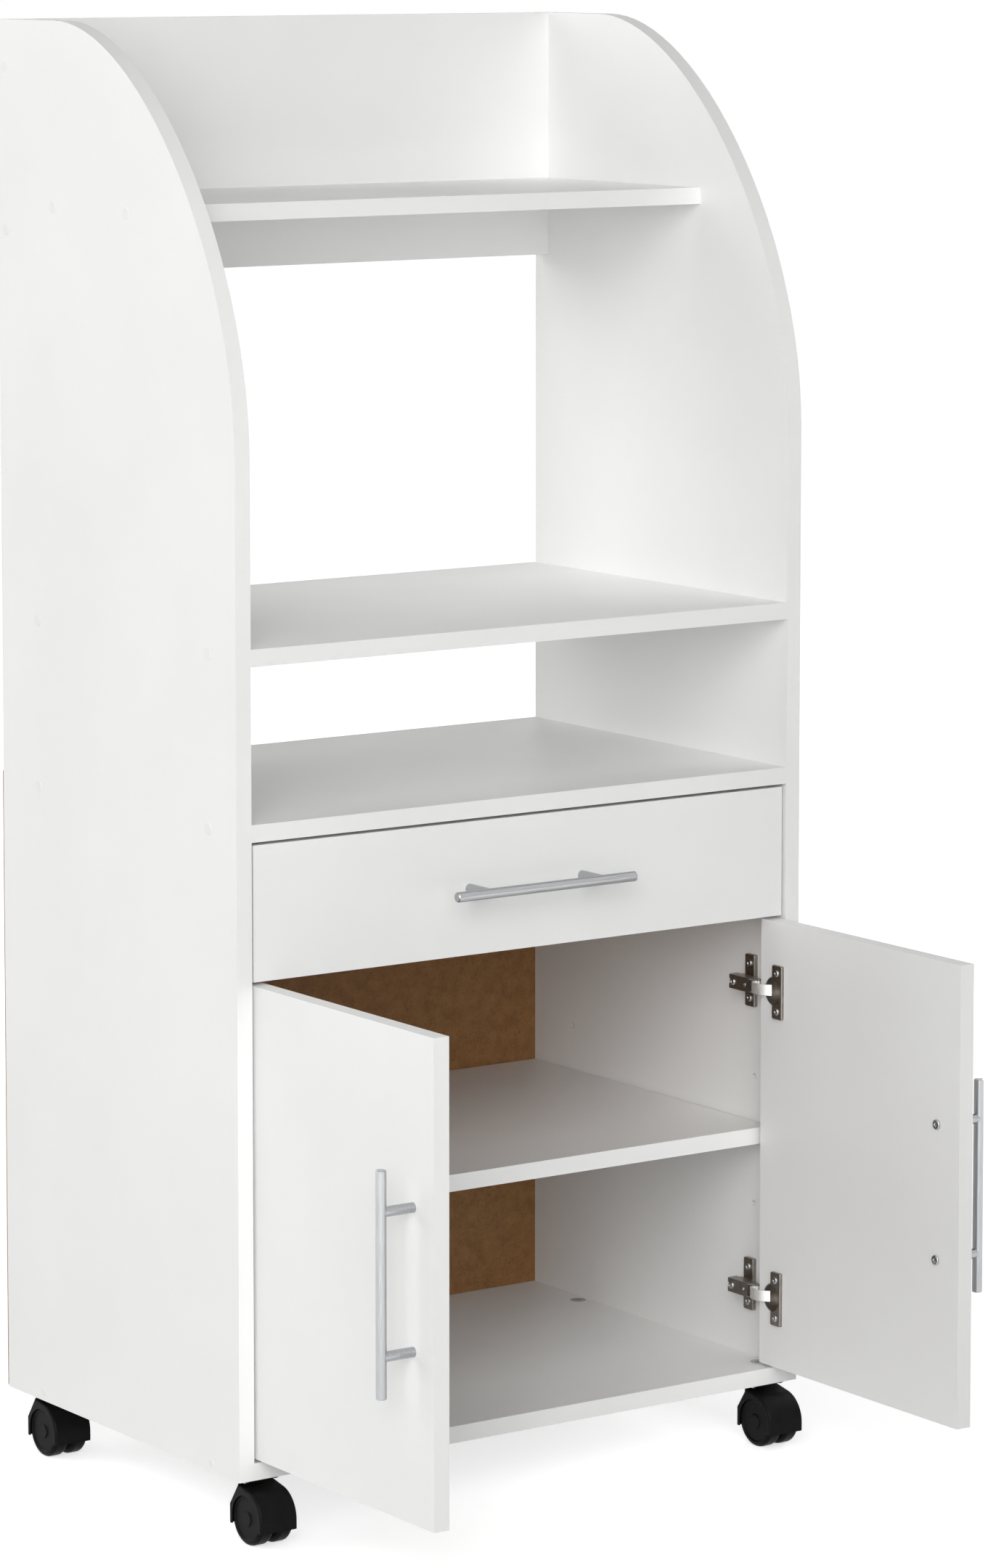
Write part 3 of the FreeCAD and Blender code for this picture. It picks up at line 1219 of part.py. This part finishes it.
def carcass():
    side = right_side_panel()
    runner = right_cabinet_runner()
    return {
        "right_side_panel": side,
        "left_side_panel": mirrored(side),
        "bottom_panel": bottom_panel(),
        "cabinet_top_panel": cabinet_top_panel(),
        "middle_shelf": full_board(MIDDLE_SHELF_TOP),
        "upper_shelf": upper_shelf(),
        "top_back_rail": top_back_rail(),
        "back_panel": back_panel(),
        "back_panel_nails": back_panel_nails(),
        "inner_shelf": inner_shelf(),
        "shelf_pins": shelf_pins(),
        "frame_screws": frame_screws(),
        "screw_cover_caps": screw_cover_caps(),
        "corner_connectors": corner_connectors(),
        "right_cabinet_runner": runner,
        "left_cabinet_runner": mirrored(runner),
        "cabinet_rollers": rollers(CABINET_ROLLER_Y),
        "runner_screws": runner_screws(),
        "hinge_plates": hinge_plates(),
        "hinge_arms": hinge_arms(),
        "hinge_screws": hinge_screws(),
        "caster_top_plates": caster_top_plates(),
        "caster_plate_screws": caster_plate_screws(),
    }


def main():
    os.makedirs("parts", exist_ok=True)
    pieces = {**carcass(), **drawer(), **doors(), **casters()}
    for name, shape in pieces.items():
        shape.exportStep("parts/" + name + ".step")


main()
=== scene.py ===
import math

import bmesh
import bpy
from mathutils import Matrix, Vector


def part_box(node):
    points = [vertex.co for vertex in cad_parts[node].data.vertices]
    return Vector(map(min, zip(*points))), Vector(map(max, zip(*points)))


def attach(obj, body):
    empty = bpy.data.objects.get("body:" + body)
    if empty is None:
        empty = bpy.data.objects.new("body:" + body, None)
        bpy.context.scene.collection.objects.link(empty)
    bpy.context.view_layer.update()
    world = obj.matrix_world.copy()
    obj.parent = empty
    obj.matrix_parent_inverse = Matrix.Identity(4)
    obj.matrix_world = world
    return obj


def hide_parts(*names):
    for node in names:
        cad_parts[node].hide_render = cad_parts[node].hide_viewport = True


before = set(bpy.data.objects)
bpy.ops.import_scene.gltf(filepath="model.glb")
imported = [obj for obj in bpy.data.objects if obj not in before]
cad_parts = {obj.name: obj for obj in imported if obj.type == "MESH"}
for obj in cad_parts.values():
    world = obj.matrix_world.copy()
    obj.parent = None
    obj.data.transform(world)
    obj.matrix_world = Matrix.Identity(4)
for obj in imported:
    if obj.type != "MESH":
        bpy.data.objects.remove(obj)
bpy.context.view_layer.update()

# The looks of a white microwave cart: melamine-faced boards, a hardboard back, satin bar handles,
# nickel hinges and black nylon casters.  Metres, X to the right, Y to the back, Z up.
MM = 0.001

# ------------------------------------------------------------------ the photograph's viewpoint
CAMERA_PLACE = (-2.8054, -4.1570, 1.3863)
CAMERA_DOWN = 5.966             # degrees below level
CAMERA_TURN = 34.954            # degrees to the right of straight back
LENS = 129.4
FRAME_HEIGHT = 36               # of the picture on the sensor, like the lens in millimetres
SHIFT_UP = -0.18

# ------------------------------------------------------------------ the studio
SOFT_BOX_SIZE = 3.5
SOFT_BOX_DISTANCE = 6.0
SOFT_BOX_AIM = 0.7              # the height on the cart that each lamp points at
FLOOR_SIZE = 60.0
FLOOR_LIFT = 0.62               # how much white the floor by the cart is given, above its own colour
SHADOW_REACH = (0.5, 2.5)       # from the cart's middle, where the floor starts and ends turning pure white
AMBIENT = 0.03

# ------------------------------------------------------------------ sizes of the modelled details
HINGE_HEAD_HEIGHT = 1.5 * MM
HINGE_SHANK_R = 1.8 * MM
DOOR_HEAD_HEIGHT = 1.3 * MM
DOOR_SHANK_R = 1.6 * MM
HEAD_OVERHANG = 0.3 * MM        # the least that a head stands out past its shank
HEAD_SIDES = 40
HEAD_ROUNDING = 0.7             # as a share of the head's height
POINT_SHARE = 0.25              # width of a screw's end as a share of its shank
RECESS_REACH = 0.62             # cross recess, arm length as a share of the head's radius
RECESS_WIDTH = 0.44
RECESS_DEPTH = 0.55             # as a share of the head's height
RECESS_FLOOR = 0.45             # floor of the recess as a share of its mouth
SMOOTH_ANGLE = math.radians(35)
SCREEN_PITCH = 1.6 * MM         # between the wires of the screen that hardboard is pressed on


# ------------------------------------------------------------------ material helpers
def linear(colour):
    """sRGB hex such as 'f0efee' as linear red, green, blue and alpha."""
    parts = [int(colour[i:i + 2], 16) / 255 for i in (0, 2, 4)]
    return tuple(c / 12.92 if c <= 0.04045 else ((c + 0.055) / 1.055) ** 2.4 for c in parts) + (1.0,)


def add(tree, kind, values=None, stops=(), **settings):
    """Add a node with its settings; each value is set on its socket, or linked to it where it is an output."""
    node = tree.nodes.new("ShaderNode" + kind)
    for name, value in settings.items():
        setattr(node, name, value)
    bands = node.color_ramp.elements if stops else ()
    while len(bands) < len(stops):
        bands.new(1.0)
    for band, (position, colour) in zip(bands, stops):
        band.position, band.color = position, linear(colour)
    for socket, value in (values or {}).items():
        if isinstance(value, bpy.types.NodeSocket):
            tree.links.new(value, node.inputs[socket])
        else:
            node.inputs[socket].default_value = value
    return node


def material(name, **constants):
    """A new material with its principled shader, whose constant sockets are set directly."""
    made = bpy.data.materials.new(name)
    made.use_nodes = True
    tree = made.node_tree
    shader = tree.nodes["Principled BSDF"]
    for socket, value in constants.items():
        shader.inputs[socket.replace("_", " ").title().replace("Ior", "IOR")].default_value = value
    return made, tree, shader, add(tree, "TexCoord").outputs["Object"]


def dress(tree, shader, pattern, colours, roughness, height_mm, strength, under=None):
    """Lead a surface's colour, roughness and relief by one pattern, the relief laid over another."""
    if colours:
        tone = add(tree, "ValToRGB", {"Fac": pattern}, stops=colours)
        tree.links.new(tone.outputs["Color"], shader.inputs["Base Color"])
    feel = add(tree, "MapRange", {"Value": pattern, "To Min": roughness[0], "To Max": roughness[1]})
    tree.links.new(feel.outputs["Result"], shader.inputs["Roughness"])
    relief = {"Height": pattern, "Distance": height_mm * MM, "Strength": strength}
    if under:
        relief["Normal"] = under
    tree.links.new(add(tree, "Bump", relief).outputs["Normal"], shader.inputs["Normal"])


def per_mm(size_mm):
    """Noise scale that gives features of this size."""
    return 1 / (size_mm * MM)


# ------------------------------------------------------------------ boards
def melamine_faced_board():
    """White melamine-faced chipboard, pressed on a pearl plate: a faint pebble and a soft sheen."""
    made, tree, shader, where = material("melamine_faced_board", ior=1.5)
    cloud = add(tree, "TexNoise", {"Vector": where, "Scale": per_mm(160), "Detail": 3.0})
    white = add(tree, "ValToRGB", {"Fac": cloud.outputs["Fac"]}, stops=((0.3, "eeeeed"), (0.7, "f2f2f1")))
    tree.links.new(white.outputs["Color"], shader.inputs["Base Color"])
    # the pressed pearl is 0.3 mm across, drawn at 1.2 mm so that it shows
    pearl = add(tree, "TexNoise", {"Vector": where, "Scale": per_mm(1.2), "Detail": 2.0})
    dress(tree, shader, pearl.outputs["Fac"], (), (0.36, 0.46), 0.03, 0.35)
    return made


def foil_wrapped_board():
    """Drawer box board wrapped in white printed paper foil: flatter and a little warmer than the cart."""
    made, tree, shader, where = material("foil_wrapped_board", ior=1.48)
    grain = add(tree, "TexNoise", {"Vector": where, "Scale": per_mm(2.0), "Detail": 3.0})
    dress(tree, shader, grain.outputs["Fac"], ((0.3, "e8e7e4"), (0.7, "edecea")), (0.46, 0.56), 0.04, 0.3)
    return made


def tempered_hardboard():
    """Hardboard pressed wet on a screen: smooth and mottled brown inside, a woven mark on the back."""
    made, tree, shader, where = material("tempered_hardboard", ior=1.5)
    fibre = add(tree, "TexNoise", {"Vector": where, "Scale": per_mm(14), "Detail": 9.0, "Roughness": 0.68})
    brown = add(tree, "ValToRGB", {"Fac": fibre.outputs["Fac"]},
                stops=((0.25, "7d5730"), (0.5, "946a3d"), (0.78, "a87b4a")))
    speck = add(tree, "TexNoise", {"Vector": where, "Scale": per_mm(1.6), "Detail": 2.0})
    dark = add(tree, "ValToRGB", {"Fac": speck.outputs["Fac"]}, stops=((0.30, "c9b79d"), (0.42, "ffffff")))
    board = add(tree, "Mix", {"Factor": 1.0, "A": brown.outputs["Color"], "B": dark.outputs["Color"]},
                data_type="RGBA", blend_type="MULTIPLY")
    tree.links.new(board.outputs["Result"], shader.inputs["Base Color"])
    # the screen's wires mark only the outer face
    place = add(tree, "SeparateXYZ", {"Vector": where})
    wires = []
    for axis in "XZ":
        turns = add(tree, "Math", {0: place.outputs[axis], 1: 2 * math.pi / SCREEN_PITCH}, operation="MULTIPLY")
        wires.append(add(tree, "Math", {0: turns.outputs[0]}, operation="SINE"))
    woven = add(tree, "Math", {0: wires[0].outputs[0], 1: wires[1].outputs[0]}, operation="MULTIPLY")
    outer_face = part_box("back_panel")[1][1] - 0.5 * MM
    outside = add(tree, "Math", {0: place.outputs["Y"], 1: outer_face}, operation="GREATER_THAN")
    marked = add(tree, "Math", {0: woven.outputs[0], 1: outside.outputs[0]}, operation="MULTIPLY")
    mesh_marks = add(tree, "Bump", {"Height": marked.outputs[0], "Distance": 0.15 * MM, "Strength": 0.8})
    dress(tree, shader, fibre.outputs["Fac"], (), (0.5, 0.66), 0.08, 0.3, mesh_marks.outputs["Normal"])
    return made


# ------------------------------------------------------------------ plastics and coatings
def moulded_white_plastic():
    """White polypropylene from a plain mould: even, with a dull skin."""
    made, tree, shader, where = material("moulded_white_polypropylene", ior=1.49)
    skin = add(tree, "TexNoise", {"Vector": where, "Scale": per_mm(0.9), "Detail": 2.0})
    dress(tree, shader, skin.outputs["Fac"], ((0.3, "e9e9e7"), (0.7, "f0f0ee")), (0.44, 0.56), 0.02, 0.3)
    return made


def powder_coated_steel():
    """White powder coat on runner steel: a fine orange peel."""
    made, tree, shader, where = material("white_powder_coated_steel", ior=1.5)
    peel = add(tree, "TexNoise", {"Vector": where, "Scale": per_mm(1.4), "Detail": 1.0})
    dress(tree, shader, peel.outputs["Fac"], ((0.3, "e4e4e1"), (0.7, "ebebe8")), (0.3, 0.42), 0.05, 0.4)
    return made


def moulded_black_nylon():
    """Black nylon hood from a spark-eroded mould: near black, fine grain, soft highlights."""
    made, tree, shader, where = material("moulded_black_nylon", ior=1.53, specular_ior_level=0.06)
    tone = add(tree, "TexNoise", {"Vector": where, "Scale": per_mm(9), "Detail": 4.0})
    black = add(tree, "ValToRGB", {"Fac": tone.outputs["Fac"]}, stops=((0.3, "0f0f0f"), (0.7, "151515")))
    tree.links.new(black.outputs["Color"], shader.inputs["Base Color"])
    # the eroded grain is 0.2 mm, drawn at 0.5 mm
    grain = add(tree, "TexNoise", {"Vector": where, "Scale": per_mm(0.5), "Detail": 2.0})
    dress(tree, shader, grain.outputs["Fac"], (), (0.34, 0.46), 0.04, 0.35)
    return made


def black_nylon_wheel():
    """Black nylon wheel, moulded smooth, then scuffed dull and grey in patches by floors."""
    made, tree, shader, where = material("black_nylon_wheel", ior=1.53, specular_ior_level=0.06)
    scuff = add(tree, "TexNoise", {"Vector": where, "Scale": per_mm(3.5), "Detail": 5.0})
    dress(tree, shader, scuff.outputs["Fac"], ((0.35, "090909"), (0.7, "0f0f0f")), (0.3, 0.5), 0.05, 0.25)
    return made


def black_painted_steel():
    """Pressed plate dipped in black paint: a slight orange peel that breaks up its shine."""
    made, tree, shader, where = material("black_painted_steel", ior=1.5)
    peel = add(tree, "TexNoise", {"Vector": where, "Scale": per_mm(2.0), "Detail": 2.0})
    dress(tree, shader, peel.outputs["Fac"], ((0.3, "181818"), (0.7, "222222")), (0.28, 0.42), 0.04, 0.3)
    return made


# ------------------------------------------------------------------ metals
def metal(name, colours, roughness, grain_mm, stretch=(1, 1, 1), height_mm=0.01):
    """Bare or plated metal whose fine marks run along the axis with the smallest stretch."""
    made, tree, shader, where = material(name, metallic=1.0)
    run = add(tree, "Mapping", {"Vector": where, "Scale": stretch})
    marks = add(tree, "TexNoise", {"Vector": run.outputs["Vector"], "Scale": per_mm(grain_mm), "Detail": 3.0})
    dress(tree, shader, marks.outputs["Fac"], colours, roughness, height_mm, 0.5)
    return made


def satin_aluminium(direction):
    """Anodised aluminium bar, brushed along its length before anodising: long faint lines, soft shine."""
    stretch = tuple(0.03 if axis == direction else 1 for axis in "xyz")
    return metal("brushed_anodised_aluminium_" + direction, ((0.3, "a6a7a9"), (0.7, "b8b9bb")), (0.2, 0.3),
                 0.7, stretch)


def nickel_plated_hinge():
    """Stamped steel with dull nickel plating: warm grey, smooth, with faint rolling marks."""
    return metal("nickel_plated_hinge_steel", ((0.3, "8f8a84"), (0.7, "a29c96")), (0.34, 0.46), 2.5,
                 (1, 1, 0.3), 0.02)


def bright_link_steel():
    """Bright nickel on the folded hinge link: pale, with a smooth rolled face."""
    return metal("bright_nickel_link", ((0.3, "eeeeec"), (0.7, "f5f5f3")), (0.5, 0.62), 3.0, (1, 1, 0.3))


def zinc_plated_steel():
    """Zinc-plated screws: cool grey, finely crystalline."""
    return metal("zinc_plated_screw", ((0.3, "a9abad"), (0.7, "bfc1c2")), (0.24, 0.38), 0.5)


def turned_steel():
    """Plain turned axle steel."""
    return metal("turned_steel_axle", ((0.3, "8f8f8f"), (0.7, "a8a8a8")), (0.25, 0.4), 0.4, (1, 0.1, 0.1))


def wear(finish, *nodes):
    """Give these CAD nodes a finish."""
    for name in nodes:
        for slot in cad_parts[name].material_slots:
            slot.material = finish


# ------------------------------------------------------------------ screws with cross recesses
def solids_of(name):
    """The bounds of each separate solid of a node, as (low, high) corners."""
    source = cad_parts[name].data
    mesh = bmesh.new()
    mesh.from_mesh(source)
    bmesh.ops.remove_doubles(mesh, verts=mesh.verts, dist=0.002 * MM)
    waiting = set(mesh.verts)
    found = []
    while waiting:
        front = [waiting.pop()]
        island = list(front)
        while front:
            for edge in front.pop().link_edges:
                for vert in edge.verts:
                    if vert in waiting:
                        waiting.remove(vert)
                        island.append(vert)
                        front.append(vert)
        low = Vector([min(v.co[i] for v in island) for i in range(3)])
        high = Vector([max(v.co[i] for v in island) for i in range(3)])
        found.append((low, high))
    mesh.free()
    return sorted(found, key=lambda pair: tuple(round(c, 5) for c in pair[0]))


def deselect():
    """Leave nothing selected, because an operator acts on all that is."""
    bpy.ops.object.select_all(action="DESELECT")


def pick(test, faces=True):
    """In edit mode, select only the faces, or the edges, that pass a test."""
    active = bpy.context.object
    mesh = bmesh.from_edit_mesh(active.data)
    for part in (mesh.verts, mesh.edges, mesh.faces):
        for item in part:
            item.select = False
    for item in (mesh.faces if faces else mesh.edges):
        if test(item):
            item.select_set(True)
    bmesh.update_edit_mesh(active.data)


def cross_cutter(reach, width, depth, level):
    """Two crossed wedges that cut the recess, its floor narrower than its mouth."""
    deselect()
    arms = []
    for along_x in (True, False):
        size = (2 * reach, width, 2 * depth) if along_x else (width, 2 * reach, 2 * depth)
        bpy.ops.mesh.primitive_cube_add(size=1, location=(0, 0, level), scale=size)
        bpy.ops.object.transform_apply(location=True, rotation=True, scale=True)
        bpy.ops.object.mode_set(mode="EDIT")
        pick(lambda face: face.normal.z > 0.9)
        bpy.ops.transform.resize(value=(RECESS_FLOOR, RECESS_FLOOR, 1))
        bpy.ops.object.mode_set(mode="OBJECT")
        arms.append(bpy.context.object)
    cutter = arms[0]
    bpy.context.view_layer.objects.active = cutter
    union = cutter.modifiers.new("arms", "BOOLEAN")
    union.operation = "UNION"
    union.object = arms[1]
    bpy.ops.object.modifier_apply(modifier=union.name)
    bpy.data.objects.remove(arms[1])
    return cutter


def screw_master(head_r, head_height, shank_r, length):
    """A screw driven along +Z with its seat at the origin: domed head, cross recess, tapered end."""
    deselect()
    bpy.ops.mesh.primitive_cylinder_add(vertices=HEAD_SIDES, radius=head_r, depth=head_height,
                                        location=(0, 0, -head_height / 2))
    bpy.ops.object.transform_apply(location=True, rotation=True, scale=True)
    screw = bpy.context.object
    bpy.ops.object.mode_set(mode="EDIT")
    pick(lambda face: face.normal.z > 0.9)
    bpy.ops.mesh.inset(thickness=head_r - shank_r, depth=0)
    bpy.ops.mesh.extrude_region_move(TRANSFORM_OT_translate={"value": (0, 0, length - 2 * shank_r)})
    bpy.ops.mesh.extrude_region_move(TRANSFORM_OT_translate={"value": (0, 0, 2 * shank_r)})
    bpy.ops.transform.resize(value=(POINT_SHARE, POINT_SHARE, 1))
    top = -head_height + 0.01 * MM
    pick(lambda edge: all(v.co.z < top for v in edge.verts), faces=False)
    bpy.ops.mesh.bevel(offset=head_height * HEAD_ROUNDING, segments=5, profile=0.5)
    bpy.ops.object.mode_set(mode="OBJECT")
    cutter = cross_cutter(head_r * RECESS_REACH, head_r * RECESS_WIDTH, head_height * RECESS_DEPTH, -head_height)
    bpy.context.view_layer.objects.active = screw
    recess = screw.modifiers.new("recess", "BOOLEAN")
    recess.operation = "DIFFERENCE"
    recess.object = cutter
    bpy.ops.object.modifier_apply(modifier=recess.name)
    bpy.data.objects.remove(cutter)
    screw.select_set(True)
    bpy.ops.object.shade_smooth_by_angle(angle=SMOOTH_ANGLE)
    return screw


def detailed_screws(node, head_height, shank_r, finish, body):
    """Replace a node's plain screws, which all lie along X with their heads towards the middle."""
    masters = {}
    made = []
    for low, high in solids_of(node):
        head_r = (high.y - low.y) / 2
        length = high.x - low.x - head_height
        size = (round(head_r, 5), round(length, 5))
        if size not in masters:
            masters[size] = screw_master(head_r, head_height, min(shank_r, head_r - HEAD_OVERHANG), length)
        inward = 1 if (low.x + high.x) > 0 else -1
        seat = Vector((low.x + head_height if inward > 0 else high.x - head_height,
                       (low.y + high.y) / 2, (low.z + high.z) / 2))
        copy = masters[size].copy()
        copy.data = masters[size].data.copy()
        bpy.context.collection.objects.link(copy)
        turn = Vector((0, 0, 1)).rotation_difference(Vector((inward, 0, 0))).to_matrix().to_4x4()
        copy.data.transform(Matrix.Translation(seat) @ turn)
        made.append(copy)
    for master in masters.values():
        bpy.data.objects.remove(master)
    deselect()
    for copy in made:
        copy.select_set(True)
    bpy.context.view_layer.objects.active = made[0]
    bpy.ops.object.join()
    joined = bpy.context.object
    joined.name = node + "_detailed"
    joined.data.materials.clear()
    joined.data.materials.append(finish)
    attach(joined, body)
    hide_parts(node)


# ------------------------------------------------------------------ dressing the cart
CASTERS = [end + "_" + side + "_caster_" for end in ("front", "back") for side in ("left", "right")]

wear(melamine_faced_board(), "left_side_panel", "right_side_panel", "bottom_panel", "cabinet_top_panel",
     "middle_shelf", "upper_shelf", "top_back_rail", "inner_shelf", "drawer_front", "left_door", "right_door")
wear(foil_wrapped_board(), "drawer_left_side", "drawer_right_side", "drawer_back")
wear(tempered_hardboard(), "back_panel", "drawer_bottom")
wear(moulded_white_plastic(), "screw_cover_caps", "cabinet_rollers", "drawer_rollers")
wear(powder_coated_steel(), "left_cabinet_runner", "right_cabinet_runner", "left_drawer_runner",
     "right_drawer_runner")
wear(satin_aluminium("x"), "drawer_handle_bar", "drawer_handle_posts")
wear(satin_aluminium("z"), "left_door_handle_bar", "left_door_handle_posts", "right_door_handle_bar",
     "right_door_handle_posts")
wear(nickel_plated_hinge(), "hinge_plates", "hinge_arms", "left_hinge_cups", "right_hinge_cups")
wear(bright_link_steel(), "left_hinge_links", "right_hinge_links")
zinc = zinc_plated_steel()
wear(zinc, "frame_screws", "back_panel_nails", "shelf_pins", "corner_connectors", "runner_screws",
     "drawer_connectors", "drawer_box_screws", "drawer_handle_screws", "caster_plate_screws")
wear(black_painted_steel(), "caster_top_plates")
wear(moulded_black_nylon(), *[name + "hood" for name in CASTERS])
wear(black_nylon_wheel(), *[name + "wheels" for name in CASTERS])
wear(turned_steel(), *[name + "axle" for name in CASTERS])

detailed_screws("hinge_screws", HINGE_HEAD_HEIGHT, HINGE_SHANK_R, zinc, "cabinet")
for door in ("left_door", "right_door"):
    detailed_screws(door + "_screws", DOOR_HEAD_HEIGHT, DOOR_SHANK_R, zinc, door)


# ------------------------------------------------------------------ floor, light and camera
def floor():
    """A plain pale floor, lifted to white for the camera so that only the cart's shadow shows on it."""
    deselect()
    bpy.ops.mesh.primitive_plane_add(size=FLOOR_SIZE, location=(0, 0, 0))
    ground = bpy.context.object
    ground.name = "floor"
    made = bpy.data.materials.new("pale_studio_floor")
    made.use_nodes = True
    tree = made.node_tree
    tree.nodes.clear()
    where = add(tree, "TexCoord").outputs["Object"]
    cloud = add(tree, "TexNoise", {"Vector": where, "Scale": 1.5, "Detail": 3.0})
    pale = add(tree, "ValToRGB", {"Fac": cloud.outputs["Fac"]}, stops=((0.3, "e9e9e9"), (0.7, "ededed")))
    matt = add(tree, "BsdfDiffuse", {"Color": pale.outputs["Color"]})
    ray = add(tree, "LightPath")
    seen = add(tree, "Math", {0: ray.outputs["Is Camera Ray"], 1: ray.outputs["Is Glossy Ray"]},
               operation="MAXIMUM")
    distance = add(tree, "VectorMath", {0: where}, operation="LENGTH")
    lift = add(tree, "MapRange", {"Value": distance.outputs["Value"], "From Min": SHADOW_REACH[0],
                                  "From Max": SHADOW_REACH[1], "To Min": FLOOR_LIFT, "To Max": 1.0},
               interpolation_type="SMOOTHSTEP")
    shown = add(tree, "Math", {0: seen.outputs[0], 1: lift.outputs["Result"]}, operation="MULTIPLY")
    white = add(tree, "Emission", {"Color": (1, 1, 1, 1), "Strength": shown.outputs[0]})
    both = add(tree, "AddShader", {0: matt.outputs[0], 1: white.outputs[0]})
    add(tree, "OutputMaterial", {"Surface": both.outputs[0]})
    ground.data.materials.append(made)


def studio_world():
    """White to the camera, in reflections and through glass, and a softer even light on the cart."""
    world = bpy.data.worlds.new("studio")
    bpy.context.scene.world = world
    world.use_nodes = True
    tree = world.node_tree
    tree.nodes.clear()
    ray = add(tree, "LightPath")
    direct = add(tree, "Math", {0: ray.outputs["Is Camera Ray"], 1: ray.outputs["Is Glossy Ray"]},
                 operation="MAXIMUM")
    seen = add(tree, "Math", {0: direct.outputs[0], 1: ray.outputs["Is Transmission Ray"]}, operation="MAXIMUM")
    strength = add(tree, "MapRange", {"Value": seen.outputs[0], "To Min": AMBIENT, "To Max": 1.0})
    light = add(tree, "Background", {"Color": (1, 1, 1, 1), "Strength": strength.outputs["Result"]})
    add(tree, "OutputWorld", {"Surface": light.outputs[0]})


def soft_box(name, round_left, height, watts):
    """A square lamp aimed at the cart, by degrees round to the left of its front and degrees up."""
    lamp = bpy.data.lights.new(name, "AREA")
    lamp.shape = "SQUARE"
    lamp.size = SOFT_BOX_SIZE
    lamp.energy = watts
    holder = bpy.data.objects.new(name, lamp)
    turn, tilt = math.radians(round_left), math.radians(height)
    outward = Vector((-math.sin(turn) * math.cos(tilt), -math.cos(turn) * math.cos(tilt), math.sin(tilt)))
    holder.location = Vector((0, 0, SOFT_BOX_AIM)) + SOFT_BOX_DISTANCE * outward
    holder.rotation_euler = outward.to_track_quat("Z", "Y").to_euler()
    holder.visible_camera = False
    bpy.context.collection.objects.link(holder)


def camera():
    """The photograph's viewpoint, sharp from front to back."""
    lens = bpy.data.cameras.new("photograph")
    lens.lens = LENS
    lens.sensor_width = FRAME_HEIGHT
    lens.shift_y = SHIFT_UP
    lens.clip_start = 0.1
    lens.clip_end = 200
    lens.dof.use_dof = False
    holder = bpy.data.objects.new("photograph", lens)
    holder.location = CAMERA_PLACE
    holder.rotation_euler = (math.radians(90 - CAMERA_DOWN), 0, math.radians(-CAMERA_TURN))
    bpy.context.collection.objects.link(holder)
    bpy.context.scene.camera = holder


floor()
studio_world()
soft_box("front_left_key", 30, 15, 145)
soft_box("left_key", 50, 20, 100)
soft_box("high_front_fill", 25, 45, 60)
soft_box("back_left_light", 120, 25, 90)
soft_box("back_light", 155, 20, 55)
soft_box("right_fill", -95, 15, 140)
camera()

scene = bpy.context.scene
scene.view_settings.view_transform = "Standard"
